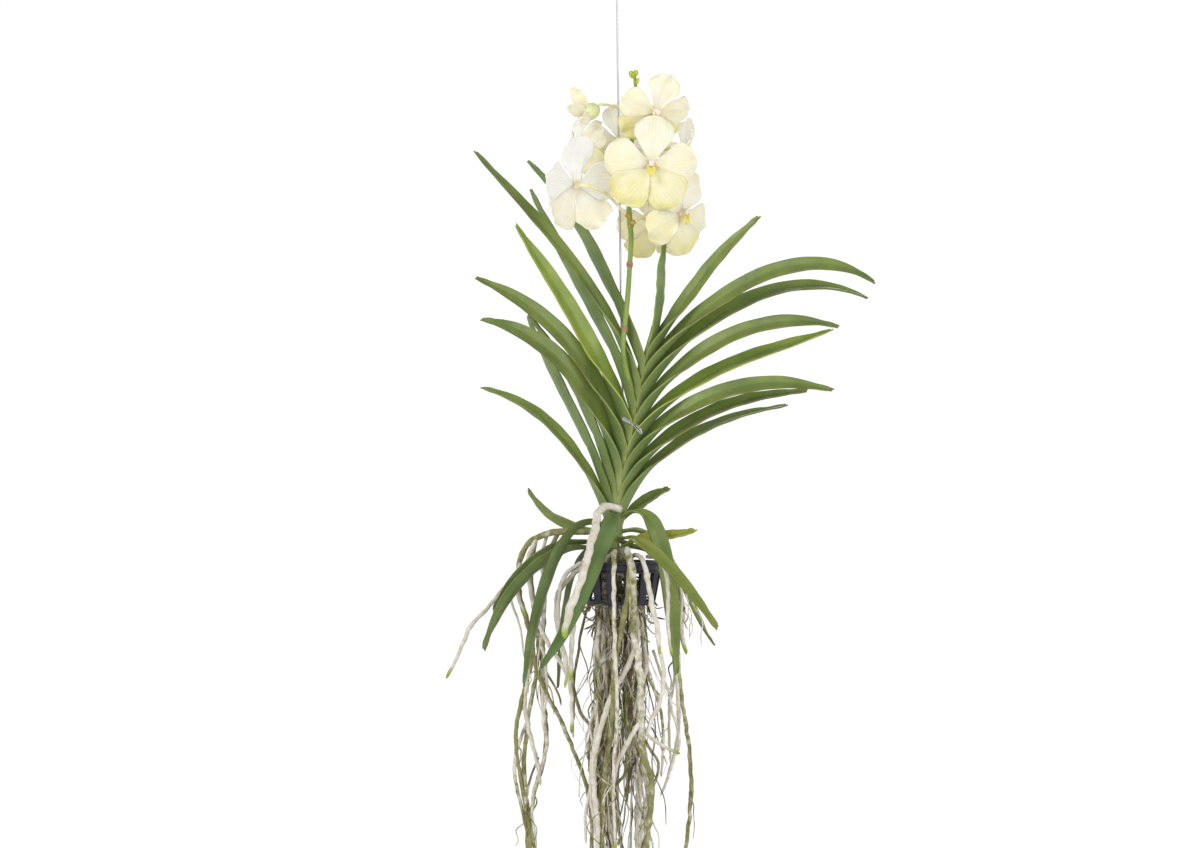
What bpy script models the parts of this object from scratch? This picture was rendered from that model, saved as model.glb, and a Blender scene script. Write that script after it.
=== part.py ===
# A vanda orchid in bloom, rooted in a small net basket that hangs from a long wire hook.
# Metres, +Z up. The origin is the inside top of the hook, which bears on a rail.
# X runs to the viewer's right and Y away from the viewer. Shapes are laid out in millimetres
# right of the hook, behind the plane of the stem, and below the hook (the drop).

import math
import random

import bmesh
import bpy
from mathutils import Matrix, Vector
from mathutils.bvhtree import BVHTree

MM = 0.001
GAP = 0.3
SEAT_STEPS = 4
EDGE_PARTS = 6
UP = Vector((0, 0, 1))

# Hanger
WIRE_R = 1.1
HOOK_R = 12
HOOK_ENDS = (-40, 232)
HOOK_STEPS = 12
HOOK_FOOT = 38
WIRE_SETBACK = 13
FOOT_REACH = 26
WIRE_FOOT = (4, 13)
WIRE_CLEAR = 7

# Basket
BASKET_RIGHT = 3
RIM_R = 40
RIM_DROP = 601
RIM_BAND = 11
BASKET_DEEP = 43
BOTTOM_R = 35
WALL = 2
SLATS = 14
WINDOW_WIDE = 7.4
HUB_R = 9
SPOKE_WIDE = 4
SECTORS = 3

# Stem
STEM_LINE = (
    (0, 640.9), (-1, 622), (-3, 600), (-3, 570), (0, 543), (4, 515),
    (11, 488), (17, 462), (22, 436), (27, 408), (32, 383), (35, 366),
)
STEM_R_LOW = 6.2
STEM_R_HIGH = 3.2
STEM_THIN_ABOVE = 400
STEM_THICK_BELOW = 550

# Leaves
LEAF_THICK = 1.7
LEAF_TIP_HALF = 2
SHEATH_LOW = 18
SHEATH_RISE = 3
SHEATH_GAP = 0.7
SHEATH_FOLD = 48
BLADE_FOLD = 19
SHEATH_SHARE = 0.6
SHEATH_OPEN = 0.14
BASAL_FOLD = 34
BASAL_SHARE = 0.42
BASAL_OPEN = 0.3
BASAL_ARM = 20
ARM_GROWTH = 60
LEAF_CELLS = 10
START_PULL = 0.38
TIP_PULL = 0.36
TURNED_BY = 0.45
OPEN_BY = 0.4
TAPER_FROM = 0.42
TAPER_POWER = 2.4

# Flowers
TEPAL_THICK = 0.9
TEPAL_ROWS = 4
TEPAL_COLUMNS = 4
CLAW_SHARE = 0.2
BROAD_AT = 0.66
ROUND_FROM = 0.78
ROUND_LOSS = 0.25
CORNER_CUT = 0.13
CUP = 0.08
TWIST = 0.05
PEDICEL_R = 1.3
COLUMN_R = 3.1
BRACT_LONG = 3.4
BRACT_OUT = 1.5
BRACT_LOW = 1.2
LIP_LONG = 13
LIP_WIDE = 9
LIP_RAISED = 2.6
LIP_THICK = 1.4

# Roots
ROOT_POINTS = 11
KNOT_OUT = 11.3
KNOT_SIZE = (4.6, 14)
KNOT_DROP = 608
SECTOR_MARGIN = 5.4
BOTTOM_ROOT_DROP = 612
RIM_ROOT_DROP = 600
RIM_CREST_DROP = 590
RIM_STAND_OFF = 9
ROOT_SHORTEST = 790
ROOT_END = 990

COLOURS = {
    "leaf_green": ((0.13, 0.21, 0.045), 0.45, 0.0),
    "leaf_yellow": ((0.36, 0.36, 0.06), 0.5, 0.0),
    "stem_green": ((0.24, 0.29, 0.09), 0.6, 0.0),
    "spike_green": ((0.20, 0.30, 0.05), 0.5, 0.0),
    "petal_cream": ((0.86, 0.83, 0.62), 0.6, 0.0),
    "lip_yellow": ((0.85, 0.60, 0.10), 0.5, 0.0),
    "root_silver": ((0.60, 0.57, 0.50), 0.8, 0.0),
    "root_olive": ((0.30, 0.31, 0.14), 0.8, 0.0),
    "basket_plastic": ((0.022, 0.022, 0.036), 0.4, 0.0),
    "wire_steel": ((0.56, 0.56, 0.58), 0.3, 1.0),
}

# Each leaf of the fan: side (1 right, -1 left), its node's drop, rise of its base above the
# horizontal, tip (right, behind, drop), slope at the tip, half width and the turn of its face.
FAN_LEAVES = {
    "leaf_left_1": (-1, 386, 66, (-91, 12, 200), 46, 11, -34),
    "leaf_left_2": (-1, 408, 70, (-142, -42, 195), 47, 10, 38),
    "leaf_left_3": (-1, 430, 73, (-88, 34, 227), 66, 9.5, -40),
    "leaf_left_4": (-1, 452, 69, (-102, -36, 267), 56, 13, 46),
    "leaf_left_5": (-1, 473, 75, (-141, -50, 320), 20, 12, 48),
    "leaf_left_6": (-1, 493, 78, (-135, -60, 361), 8, 13, 44),
    "leaf_left_7": (-1, 511, 74, (-90, 20, 356), 52, 10, -30),
    "leaf_left_8": (-1, 527, 72, (-93, 74, 354), 62, 9, -34),
    "leaf_left_9": (-1, 543, 70, (-137, -12, 428), 14, 10, 34),
    "leaf_right_1": (1, 358, 74, (49, 12, 281), 74, 8, -36),
    "leaf_right_2": (1, 380, 58, (143, -6, 257), 42, 10.5, 44),
    "leaf_right_3": (1, 400, 56, (256, -34, 324), -36, 11.5, 46),
    "leaf_right_4": (1, 422, 60, (253, 22, 338), -26, 12, 42),
    "leaf_right_5": (1, 445, 60, (221, -28, 368), -16, 11.5, 44),
    "leaf_right_6": (1, 468, 58, (218, 30, 369), 20, 12, 42),
    "leaf_right_7": (1, 490, 60, (215, -26, 431), -16, 11.5, 46),
    "leaf_right_8": (1, 512, 60, (193, 14, 431), 4, 11, 40),
    "leaf_right_9": (1, 532, 64, (174, 44, 445), 10, 10, 36),
}

# Each leaf at the foot of the stem: heading of its base in degrees from +X, then as above.
BASAL_LEAVES = {
    "leaf_low_1": (128, 566, -16, (-90, 58, 530), 58, 7, 52),
    "leaf_low_2": (30, 562, 40, (53, 28, 529), 18, 7, 30),
    "leaf_low_3": (-4, 588, 30, (80, 2, 570), 22, 8, 38),
    "leaf_low_4": (-30, 558, 34, (60, -16, 713), -86, 9, 60),
    "leaf_low_5": (-62, 581, 20, (99, -62, 665), -52, 6.5, 46),
    "leaf_low_6": (36, 574, 18, (99, 44, 687), -50, 10, 40),
    "leaf_low_7": (-90, 558, 22, (-76, -58, 704), -44, 9.5, -62),
    "leaf_low_8": (215, 570, 34, (-93, -38, 722), -80, 11, 52),
    "leaf_low_9": (172, 588, 22, (-125, 13, 652), -62, 8, 40),
    "leaf_low_10": (186, 595, 28, (-134, 0, 690), -76, 8, 44),
    "leaf_low_11": (136, 592, 24, (-60, 54, 731), -86, 8, -30),
    "leaf_low_12": (100, 578, 30, (-14, 92, 676), -74, 9, 20),
}
YELLOW_LEAVES = ("leaf_low_3", "leaf_low_5")

# The flower stalk, from the stem to its tip: right, behind, drop, radius.
SPIKE_LINE = (
    (18.5, -6.9, 444, 3.0), (13, -11.5, 424, 3.0), (8, -13, 405, 2.9), (6, -14, 385, 2.7),
    (8.5, -13.5, 359, 2.7), (11, -12.5, 332, 2.7), (12.6, -11.5, 306, 2.6), (14, -10, 279, 2.6),
    (12, -8, 250, 2.6), (13, -6, 215, 2.4), (15, -5, 178, 2.2), (20.5, -4, 142, 1.9),
    (18.5, -4, 126, 1.8), (17.5, -4, 117, 1.6),
)
# The buds at its tip: right, behind, drop, half width, half length; and the drops of its sheath collars.
BUDS = ((15, -5, 115, 3.0, 4.0), (18.8, -3.6, 113.4, 2.6, 3.4), (20.4, -4.6, 121.5, 1.8, 3.6))
COLLAR_DROPS = (305, 369)

# Each flower: centre (right, behind, drop), the way it faces (turn right of the viewer, tip up),
# its lean clockwise, the length of its tepals and the drop where its stalk leaves the spike.
FLOWERS = {
    "flower_1": ((33, -52, 209), 4, -6, 4, 49, 238),
    "flower_2": ((38, -34, 155), 20, -30, 8, 40, 176),
    "flower_3": ((64, -16, 254), 42, -8, 22, 45, 262),
    "flower_4": ((-40, -46, 229), -140, 4, 2, 49, 256),
    "flower_5": ((-36, 8, 184), -62, 4, -10, 39, 212),
    "flower_6": ((4, 46, 178), 176, 8, 4, 39, 196),
    "flower_7": ((62, 26, 194), 108, -26, 8, 42, 224),
    "flower_8": ((37, 45, 260.5), 152, -10, 12, 40, 266),
}
# Heading of each tepal round the flower, its share of full length, width, dish and sweep back.
TEPALS = (
    (88, 1.0, 0.80, 0.16, 0.10),
    (8, 0.95, 0.80, 0.10, 0.16),
    (170, 0.95, 0.80, 0.12, 0.14),
    (-52, 0.98, 0.86, 0.19, 0.11),
    (-127, 0.98, 0.86, 0.17, 0.13),
)
# A flower about to open: centre, axis, length, half width, drop of its stalk; and the tips and
# half widths of its loose tepals.
NODDING_BUD = ((-26, -26, 154), (-0.75, -0.1, -0.6), 19, 8, 158)
NODDING_TEPALS = (((-45, -24, 130), 7), ((-50, -38, 150), 7), ((-38, -44, 168), 6))

# Root routes laid by hand: right, behind, drop, radius.
WHITE_ROOT = (
    (3, -10.9, 549, 4.2), (-7, -18, 546, 4.3), (-17, -31, 548, 4.3), (-21, -46, 562, 4.2),
    (-28, -65, 590, 4.0), (-34, -74, 615, 3.7), (-44, -78, 637, 4.2), (-49, -80, 655, 4.1),
    (-51, -80, 674, 2.6),
)
LEFT_ROOTS = (
    ((-10.5, 2, 571, 3.2), (-37, 8, 572, 3.4), (-57, 17, 574, 3.3), (-80, 29, 575, 3.2),
     (-95, 33, 592, 3.1), (-101, 34, 618, 3.0), (-95, 33, 655, 2.8), (-86, 32, 690, 2.5),
     (-94, 30, 730, 2.2), (-103, 28, 775, 2.1), (-99, 27, 815, 2.1), (-91, 27, 860, 2.0),
     (-88, 25, 905, 1.8), (-92, 24, 950, 1.3)),
    ((-82, 29, 577, 2.6), (-88, 37, 605, 2.5), (-86, 40, 640, 2.4), (-80, 37, 680, 2.3), (-84, 34, 725, 2.2),
     (-92, 32, 770, 2.2), (-95, 30, 820, 2.1), (-90, 28, 858, 2.0), (-86, 30, 925, 1.4)),
    ((-61, 19, 575, 2.4), (-72, 38, 600, 2.3), (-74, 44, 640, 2.3), (-76, 42, 690, 2.6), (-76, 38, 740, 2.8),
     (-72, 35, 790, 2.2), (-84, 31, 835, 2.0), (-88, 28, 870, 1.8), (-82, 26, 900, 1.3)),
    ((-101, 34, 612, 2.4), (-118, 26, 634, 2.3), (-137, 14, 655, 2.2), (-150, 4, 670, 2.3),
     (-160, -2, 696, 2.1), (-172, -6, 718, 1.5)),
)
RIGHT_ROOTS = (
    ((5, 5, 580, 2.8), (20, 14, 587, 3.0), (38, 15, 591, 3.0), (50, 11, 599, 2.8), (58, 6, 616, 2.5),
     (66, 0, 632, 2.4), (68, -3, 652, 2.7), (67, -4, 672, 2.7), (72, -5, 694, 1.7)),
    ((57, 7, 613, 2.4), (62, 11, 645, 2.3), (64, 11, 685, 2.3), (66, 9, 725, 2.3), (72, 6, 765, 2.2),
     (77, 4, 810, 2.3), (76, 4, 855, 2.2), (71, 4, 895, 2.0), (72, 4, 945, 1.3)),
    ((60, 4, 620, 1.8), (70, -6, 625, 1.7), (78, -10, 638, 1.4), (80, -11, 652, 1.0)),
)
FRONT_ROOT = (
    (7, -8.5, 602, 3.2), (8, -24, 591, 3.4), (12, -42, 588.5, 3.6), (15, -52.5, 603, 3.8),
    (17, -51, 640, 3.8), (18, -46, 670, 3.4), (23, -42, 705, 3.8), (25, -38, 745, 3.6),
    (27, -34, 790, 3.4), (36, -31, 826, 3.2), (31, -29, 872, 3.0), (27, -27, 915, 2.6),
    (25, -26, 968, 1.6),
)
PALE_ROOT = (
    (10, -8.5, 604, 2.4), (22, -32, 592, 2.6), (30, -45, 612, 2.7), (35, -48, 640, 2.7), (41, -46, 668, 2.6),
    (43, -44, 694, 1.5),
)
# Each third of the basket: its heading, how many roots drop through its opening, the heading they
# aim at and their swing to either side, the headings of those over the rim, and the seed.
ROOT_SECTORS = {
    "roots_front_left": (210, 7, 210, 44, (262,), 3),
    "roots_front_right": (-30, 6, -30, 44, (), 8),
    "roots_back": (90, 7, 116, 22, (108, 88), 21),
}


def at(right, behind, drop):
    return Vector((right, behind - WIRE_SETBACK, -drop)) * MM


def hub(drop):
    """The basket's axis at that drop."""
    return at(BASKET_RIGHT, 0, drop)


def smooth(x):
    x = min(1.0, max(0.0, x))
    return x * x * (3 - 2 * x)


def mix(a, b, share):
    return a + (b - a) * share


def heading(degrees):
    return Vector((math.cos(math.radians(degrees)), math.sin(math.radians(degrees)), 0))


def along(points, count):
    """count points, evenly spaced, on a smooth curve through the given vectors of any length."""
    ends = [2 * points[0] - points[1], *points, 2 * points[-1] - points[-2]]
    fine = []
    for a, b, c, d in zip(ends, ends[1:], ends[2:], ends[3:]):
        for step in range(12):
            t = step / 12
            bend = (2 * a - 5 * b + 4 * c - d) * t**2 + (3 * b - a - 3 * c + d) * t**3
            fine.append((2 * b + (c - a) * t + bend) / 2)
    fine.append(points[-1])
    reach = [0.0]
    for a, b in zip(fine, fine[1:]):
        reach.append(reach[-1] + (b - a).length)
    even, seg = [], 0
    for i in range(count):
        goal = reach[-1] * i / (count - 1)
        while seg < len(fine) - 2 and reach[seg + 1] < goal:
            seg += 1
        even.append(fine[seg].lerp(fine[seg + 1], (goal - reach[seg]) / (reach[seg + 1] - reach[seg])))
    return even


def stem_point(drop):
    """Centre of the stem at that drop."""
    line = sorted(STEM_LINE, key=lambda p: p[1])
    for (x0, d0), (x1, d1) in zip(line, line[1:]):
        if drop <= d1 or (x1, d1) == line[-1]:
            return at(mix(x0, x1, (drop - d0) / (d1 - d0)), 0, drop)


def stem_radius(drop):
    span = STEM_THICK_BELOW - STEM_THIN_ABOVE
    return mix(STEM_R_HIGH, STEM_R_LOW, smooth((drop - STEM_THIN_ABOVE) / span))


def material(name):
    found = bpy.data.materials.get(name)
    if found:
        return found
    colour, roughness, metallic = COLOURS[name]
    made = bpy.data.materials.new(name)
    made.use_nodes = True
    shader = made.node_tree.nodes["Principled BSDF"]
    shader.inputs["Base Color"].default_value = (*colour, 1)
    shader.inputs["Roughness"].default_value = roughness
    shader.inputs["Metallic"].default_value = metallic
    return made


def add(name, data, material_name, collection="vanda_orchid"):
    obj = bpy.data.objects.new(name, data)
    data.materials.append(material(material_name))
    bpy.data.collections[collection].objects.link(obj)
    return obj


def add_bmesh(name, bm, material_name, collection="vanda_orchid"):
    mesh = bpy.data.meshes.new(name)
    bm.to_mesh(mesh)
    bm.free()
    return add(name, mesh, material_name, collection)


def tube(name, route, radii, material_name, rounding=1, cyclic=False):
    """A round bar along the route, as a curve, with a radius in millimetres at each point."""
    curve = bpy.data.curves.new(name, "CURVE")
    curve.dimensions = "3D"
    curve.bevel_depth = MM
    curve.bevel_resolution = rounding
    curve.use_fill_caps = not cyclic
    spline = curve.splines.new("POLY")
    spline.points.add(len(route) - 1)
    spline.use_cyclic_u = cyclic
    for point, place, radius in zip(spline.points, route, radii):
        point.co = (*place, 1)
        point.radius = radius
    return add(name, curve, material_name)


def as_mesh(obj):
    """The object's evaluated shape as a plain closed mesh object in its place."""
    bpy.context.view_layer.update()
    shape = obj.evaluated_get(bpy.context.evaluated_depsgraph_get())
    mesh = bpy.data.meshes.new_from_object(shape)
    bm = bmesh.new()
    bm.from_mesh(mesh)
    bmesh.ops.remove_doubles(bm, verts=bm.verts, dist=0.01 * MM)
    bm.to_mesh(mesh)
    bm.free()
    made = bpy.data.objects.new(obj.name + "_mesh", mesh)
    obj.users_collection[0].objects.link(made)
    made.matrix_world = obj.matrix_world
    bpy.data.objects.remove(obj)
    return made


def surface(obj):
    """Points along the object's evaluated edges, and a tree of its faces."""
    bpy.context.view_layer.update()
    shape = obj.evaluated_get(bpy.context.evaluated_depsgraph_get())
    mesh = shape.to_mesh()
    corners = [obj.matrix_world @ v.co for v in mesh.vertices]
    edges = [[corners[i] for i in edge.vertices] for edge in mesh.edges]
    points = corners + [a.lerp(b, i / EDGE_PARTS) for a, b in edges for i in range(1, EDGE_PARTS)]
    faces = [tuple(face.vertices) for face in mesh.polygons]
    shape.to_mesh_clear()
    return points, BVHTree.FromPolygons(corners, faces)


def seat(obj, carrier, way):
    """Slides a piece along way until it stands GAP off what carries it."""
    there, tree = surface(carrier)
    for _ in range(SEAT_STEPS):
        here, own = surface(obj)
        near = min(min(tree.find_nearest(p)[3] for p in here), min(own.find_nearest(p)[3] for p in there))
        obj.location += way * (near - GAP * MM)
    return obj


def fuse(name, pieces):
    """Joins overlapping closed meshes in one body with that name."""
    body = pieces[0]
    repeats = bpy.data.collections.new(name + "_repeats")
    bpy.context.scene.collection.children.link(repeats)
    for piece in pieces[1:]:
        piece.users_collection[0].objects.unlink(piece)
        repeats.objects.link(piece)
    union = body.modifiers.new("union", "BOOLEAN")
    union.operation = "UNION"
    union.operand_type = "COLLECTION"
    union.collection = repeats
    union.solver = "MANIFOLD"
    joined = as_mesh(body)
    for piece in list(repeats.objects):
        bpy.data.objects.remove(piece)
    bpy.data.collections.remove(repeats)
    joined.name = name
    joined.data.name = name
    return joined


def ball(name, place, size, axis, material_name, rings=5, sides=6):
    """A closed egg, its half sizes across and along its axis in millimetres."""
    bm = bmesh.new()
    bmesh.ops.create_uvsphere(bm, u_segments=sides, v_segments=rings, radius=MM)
    turn = UP.rotation_difference(Vector(axis)).to_matrix().to_4x4()
    shape = Matrix.Translation(place) @ turn @ Matrix.Diagonal((size[0], size[0], size[1], 1))
    bmesh.ops.transform(bm, matrix=shape, verts=bm.verts)
    return add_bmesh(name, bm, material_name)


def blade(name, place_of, columns, rows, thick, material_name):
    """A closed blade: a grid laid out by place_of(across, along), then given its thickness."""
    bm = bmesh.new()
    bmesh.ops.create_grid(bm, x_segments=columns, y_segments=rows, size=1)
    for vert in bm.verts:
        vert.co = place_of(vert.co.x, (vert.co.y + 1) / 2)
    bmesh.ops.triangulate(bm, faces=bm.faces)
    obj = add_bmesh(name, bm, material_name)
    solid = obj.modifiers.new("thickness", "SOLIDIFY")
    solid.thickness = thick * MM
    solid.offset = 0
    return obj


def leaf_spine(start, way, rise, tip, fall, count):
    """Points and headings along a leaf: it leaves along way, climbs at rise and reaches its tip at fall."""
    reach = (tip - start).length
    out = Vector((tip.x - start.x, tip.y - start.y, 0)).normalized()
    first = way * math.cos(math.radians(rise)) + UP * math.sin(math.radians(rise))
    last = out * math.cos(math.radians(fall)) + UP * math.sin(math.radians(fall))
    a, b, c, d = start, start + first * reach * START_PULL, tip - last * reach * TIP_PULL, tip
    spine = []
    for i in range(count + 1):
        t = i / count
        point = a * (1 - t)**3 + b * 3 * t * (1 - t)**2 + c * 3 * t * t * (1 - t) + d * t**3
        run = (b - a) * (1 - t)**2 + (c - b) * 2 * t * (1 - t) + (d - c) * t * t
        spine.append((point, run.normalized()))
    return spine


def leaf(name, start, way, numbers, folds, base, material_name):
    """A keeled strap leaf whose face opens from its sheath and turns along its length."""
    base_share, opened, arm = base
    rise, tip, fall, half, turn = numbers
    spine = leaf_spine(start, way, rise, at(*tip), fall, LEAF_CELLS)
    frames, face = [], UP
    for i, (point, run) in enumerate(spine):
        face = (face - run * face.dot(run)).normalized()
        if i == 0 and face.dot(way) > 0:
            face = -face
        frames.append((point, run, face))

    def place_of(across, share):
        point, run, top = frames[round(share * LEAF_CELLS)]
        top = Matrix.Rotation(math.radians(turn) * smooth(share / TURNED_BY), 3, run) @ top
        side = run.cross(top)
        fold = math.radians(mix(folds[0], folds[1], smooth(share / OPEN_BY)))
        wide = half * mix(base_share, 1, smooth(share / opened))
        wide *= 1 - max(0.0, (share - TAPER_FROM) / (1 - TAPER_FROM))**TAPER_POWER
        wide = max(min(wide, arm + ARM_GROWTH * share), LEAF_TIP_HALF) * MM
        return point + side * across * wide * math.cos(fold) + top * abs(across) * wide * math.sin(fold)

    return blade(name, place_of, 2, LEAF_CELLS, LEAF_THICK, material_name)


def fan_leaf(name, carrier, side, drop, rise, tip, fall, half, turn):
    """A leaf of the fan, its folded base clasping the stem on the left or right."""
    way = Vector((side, 0, 0))
    low = drop + SHEATH_LOW
    clear = (stem_radius(low) + SHEATH_GAP + LEAF_THICK / 2) / math.cos(math.radians(SHEATH_FOLD))
    arm = (clear - 1) / math.sin(math.radians(SHEATH_FOLD))
    numbers = (rise + SHEATH_RISE, tip, fall, half, turn * side)
    folds, base = (SHEATH_FOLD, BLADE_FOLD), (SHEATH_SHARE, SHEATH_OPEN, arm)
    made = leaf(name, stem_point(low) + way * clear * MM, way, numbers, folds, base, "leaf_green")
    return seat(made, carrier, -way)


def basal_leaf(name, carrier, head, drop, *numbers):
    """A leaf at the foot of the stem, leaving it at that heading."""
    way = heading(head)
    clear = stem_radius(drop) + GAP + LEAF_THICK
    start = stem_point(drop) + way * clear * MM
    colour = "leaf_yellow" if name in YELLOW_LEAVES else "leaf_green"
    folds, base = (BASAL_FOLD, BLADE_FOLD), (BASAL_SHARE, BASAL_OPEN, BASAL_ARM)
    made = leaf(name, start, way, numbers, folds, base, colour)
    return seat(made, carrier, -way)


def stem():
    route = [at(x, 0, drop) for x, drop in STEM_LINE]
    radii = [stem_radius(drop) for x, drop in STEM_LINE]
    return tube("stem", route, radii, "stem_green", 2)


def wire_hook():
    """The open hook on top of the hanger's wire, as far as its straight shank."""
    eye = Vector((0, WIRE_SETBACK, HOOK_R - WIRE_R))
    route = []
    for i in range(HOOK_STEPS + 1):
        turn = math.radians(mix(*HOOK_ENDS, i / HOOK_STEPS))
        route.append(at(*(eye + HOOK_R * Vector((math.cos(turn), 0, -math.sin(turn))))))
    route += [at(*p) for p in ((-2.2, 13, 26), (-0.4, 13, 31), (0, 13, HOOK_FOOT))]
    return tube("wire_hook", route, [WIRE_R] * len(route), "wire_steel", 1)


def hanger_wire():
    """The shank below the hook, down past the stem to a foot turned under the basket's hub."""
    floor = RIM_DROP + BASKET_DEEP + GAP + WIRE_R
    shank = [(0, 13, HOOK_FOOT + GAP), (5, 13, 400), (6, 13, 465), (*WIRE_FOOT, floor - 6)]
    foot = [(4, 12.3, floor - 1.8), (4, 10.6, floor), (3, 10.6 - FOOT_REACH, floor)]
    route = [at(*p) for p in shank + foot]
    return tube("hanger_wire", route, [WIRE_R] * len(route), "wire_steel", 1)


def stem_tie():
    """A thin wire loop that holds the stem to the hanger."""
    loop = (
        (15.4, -7.4, 464), (7, -12.4, 458), (6.4, -14.2, 459.5), (15.5, -10.2, 465), (23.5, -12.5, 473),
        (24.6, -11, 471), (18.8, -6.3, 464), (22.7, -0.5, 462), (20.9, 4.6, 462.5), (17.6, 7.2, 463.5),
        (9.2, 14.7, 464.5), (6, 15.5, 464.3), (3.6, 13.4, 464.3), (5.4, 10.8, 464.3), (15, 7.4, 464),
        (13.5, 4.6, 464.4), (10.6, 0.3, 464), (11.4, -3.4, 464),
    )
    route = [at(*p) for p in loop]
    return tube("stem_tie", route, [0.6] * len(route), "wire_steel", 0, cyclic=True)


def box_ring(bm, count, radius, size, height, turn=0.0):
    """Boxes set in a ring, as cutters or posts."""
    for i in range(count):
        place = Matrix.Rotation(2 * math.pi * i / count + turn, 4, "Z")
        place @= Matrix.Translation((radius * MM, 0, height * MM))
        bmesh.ops.create_cube(bm, size=MM, matrix=place @ Matrix.Diagonal((*size, 1)))


def opening_outline(bm, head):
    """One of the bottom's openings, a wedge between two spokes, as a flat outline."""
    wide = 2 * math.pi / SECTORS
    inner, outer, steps = HUB_R, BOTTOM_R - 5, 6
    trim = SPOKE_WIDE / 2
    points = []
    for radius, order in ((outer, range(steps + 1)), (inner, range(steps, -1, -1))):
        spare = math.asin(trim / radius)
        for i in order:
            turn = math.radians(head) + mix(-wide / 2 + spare, wide / 2 - spare, i / steps)
            points.append(bm.verts.new((radius * MM * math.cos(turn), radius * MM * math.sin(turn), -3 * MM)))
    face = bm.faces.new(points)
    grown = bmesh.ops.extrude_face_region(bm, geom=[face])["geom"]
    lifted = [v for v in grown if isinstance(v, bmesh.types.BMVert)]
    bmesh.ops.translate(bm, verts=lifted, vec=(0, 0, 8 * MM))


def basket():
    """A turned cup with a banded rim, pierced by windows between its slats and by three openings below."""
    deep = BASKET_DEEP
    profile = (
        (0, WALL), (BOTTOM_R - WALL, WALL), (RIM_R - WALL, deep - 2), (RIM_R - WALL, deep),
        (RIM_R + 2, deep), (RIM_R + 2, deep - 2.2), (RIM_R, deep - 3), (RIM_R, deep - RIM_BAND + 2.4),
        (RIM_R + 1.2, deep - RIM_BAND + 1.6), (RIM_R + 1, deep - RIM_BAND), (BOTTOM_R, 0), (0, 0),
    )
    bm = bmesh.new()
    verts = [bm.verts.new((x * MM, 0, z * MM)) for x, z in profile]
    for pair in zip(verts, verts[1:]):
        bm.edges.new(pair)
    cup = add_bmesh("basket", bm, "basket_plastic")
    turned = cup.modifiers.new("turned", "SCREW")
    turned.steps = turned.render_steps = 2 * SLATS
    turned.use_merge_vertices = True
    turned.merge_threshold = 0.00005

    cuts = bmesh.new()
    window_high = deep - RIM_BAND - 4
    box_ring(cuts, SLATS, RIM_R - 2, (18, WINDOW_WIDE, window_high), 4 + window_high / 2, math.pi / SLATS)
    windows = add_bmesh("basket_windows", cuts, "basket_plastic", "cutters")
    cuts = bmesh.new()
    for sector in ROOT_SECTORS.values():
        opening_outline(cuts, sector[0])
    bmesh.ops.recalc_face_normals(cuts, faces=cuts.faces)
    openings = add_bmesh("basket_openings", cuts, "basket_plastic", "cutters")

    cup.location = hub(RIM_DROP + deep)
    for cutter in (windows, openings):
        cutter.location = cup.location
        cutter.hide_render = True
        cutter.display_type = "WIRE"
        cut = cup.modifiers.new(cutter.name, "BOOLEAN")
        cut.operation = "DIFFERENCE"
        cut.object = cutter
    return cup


def spike():
    """The flower stalk with its two sheath collars, its bracts and the buds at its tip."""
    line = [at(*p[:3]) for p in SPIKE_LINE]
    pieces = [as_mesh(tube("spike_stalk", line, [p[3] for p in SPIKE_LINE], "spike_green"))]
    for drop in COLLAR_DROPS:
        pieces.append(ball("collar", spike_point(drop), (3.5, 4.5), UP, "spike_green"))
    for centre, _, _, _, _, drop in FLOWERS.values():
        point = spike_point(drop)
        out = (at(*centre) - point).normalized()
        place = point + (out * BRACT_OUT - UP * BRACT_LOW) * MM
        pieces.append(ball("bract", place, (1.6, BRACT_LONG), out, "spike_green", 4, 5))
    for right, behind, drop, wide, long in BUDS:
        lean = (right - 18, behind + 4, 6)
        pieces.append(ball("bud", at(right, behind, drop), (wide, long), lean, "spike_green"))
    return fuse("flower_spike", pieces)


def spike_point(drop):
    """Centre of the flower stalk at that drop."""
    for (x0, y0, d0, _), (x1, y1, d1, _) in zip(SPIKE_LINE, SPIKE_LINE[1:]):
        if d1 <= drop <= d0:
            share = (d0 - drop) / (d0 - d1)
            return at(mix(x0, x1, share), mix(y0, y1, share), drop)


def flower_frame(turn, tip, lean):
    """Right, up and facing directions of a flower."""
    a, b, c = map(math.radians, (turn, tip, lean))
    facing = Vector((math.sin(a) * math.cos(b), -math.cos(a) * math.cos(b), math.sin(b)))
    right = UP.cross(facing).normalized()
    up = facing.cross(right)
    return right * math.cos(c) - up * math.sin(c), up * math.cos(c) + right * math.sin(c), facing


def tepal_place(centre, frame, long, tepal, wave, across, share):
    """A point of a tepal: a narrow claw, a broad round blade, dished and swept back at its edge."""
    head, length, wide, dish, sweep = tepal
    right, up, facing = frame
    out = right * math.cos(math.radians(head)) + up * math.sin(math.radians(head))
    side = facing.cross(out)
    s = 1 - (1 - share)**1.25
    rounding = 1 - ROUND_LOSS * smooth((s - ROUND_FROM) / (1 - ROUND_FROM))
    half = 0.5 * wide * long * mix(CLAW_SHARE, 1, smooth(s / BROAD_AT)) * rounding
    forward = long * (dish * s - (dish + sweep) * s**2.2 + CUP * across**2 * s * math.cos(math.pi * s))
    forward += long * TWIST * s**2 * across * math.sin(wave + 5 * s)
    reach = long * length * (0.03 + 0.97 * s * (1 - CORNER_CUT * across**2 * s * s))
    return centre + (out * reach + side * across * half + facing * forward) * MM


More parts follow.
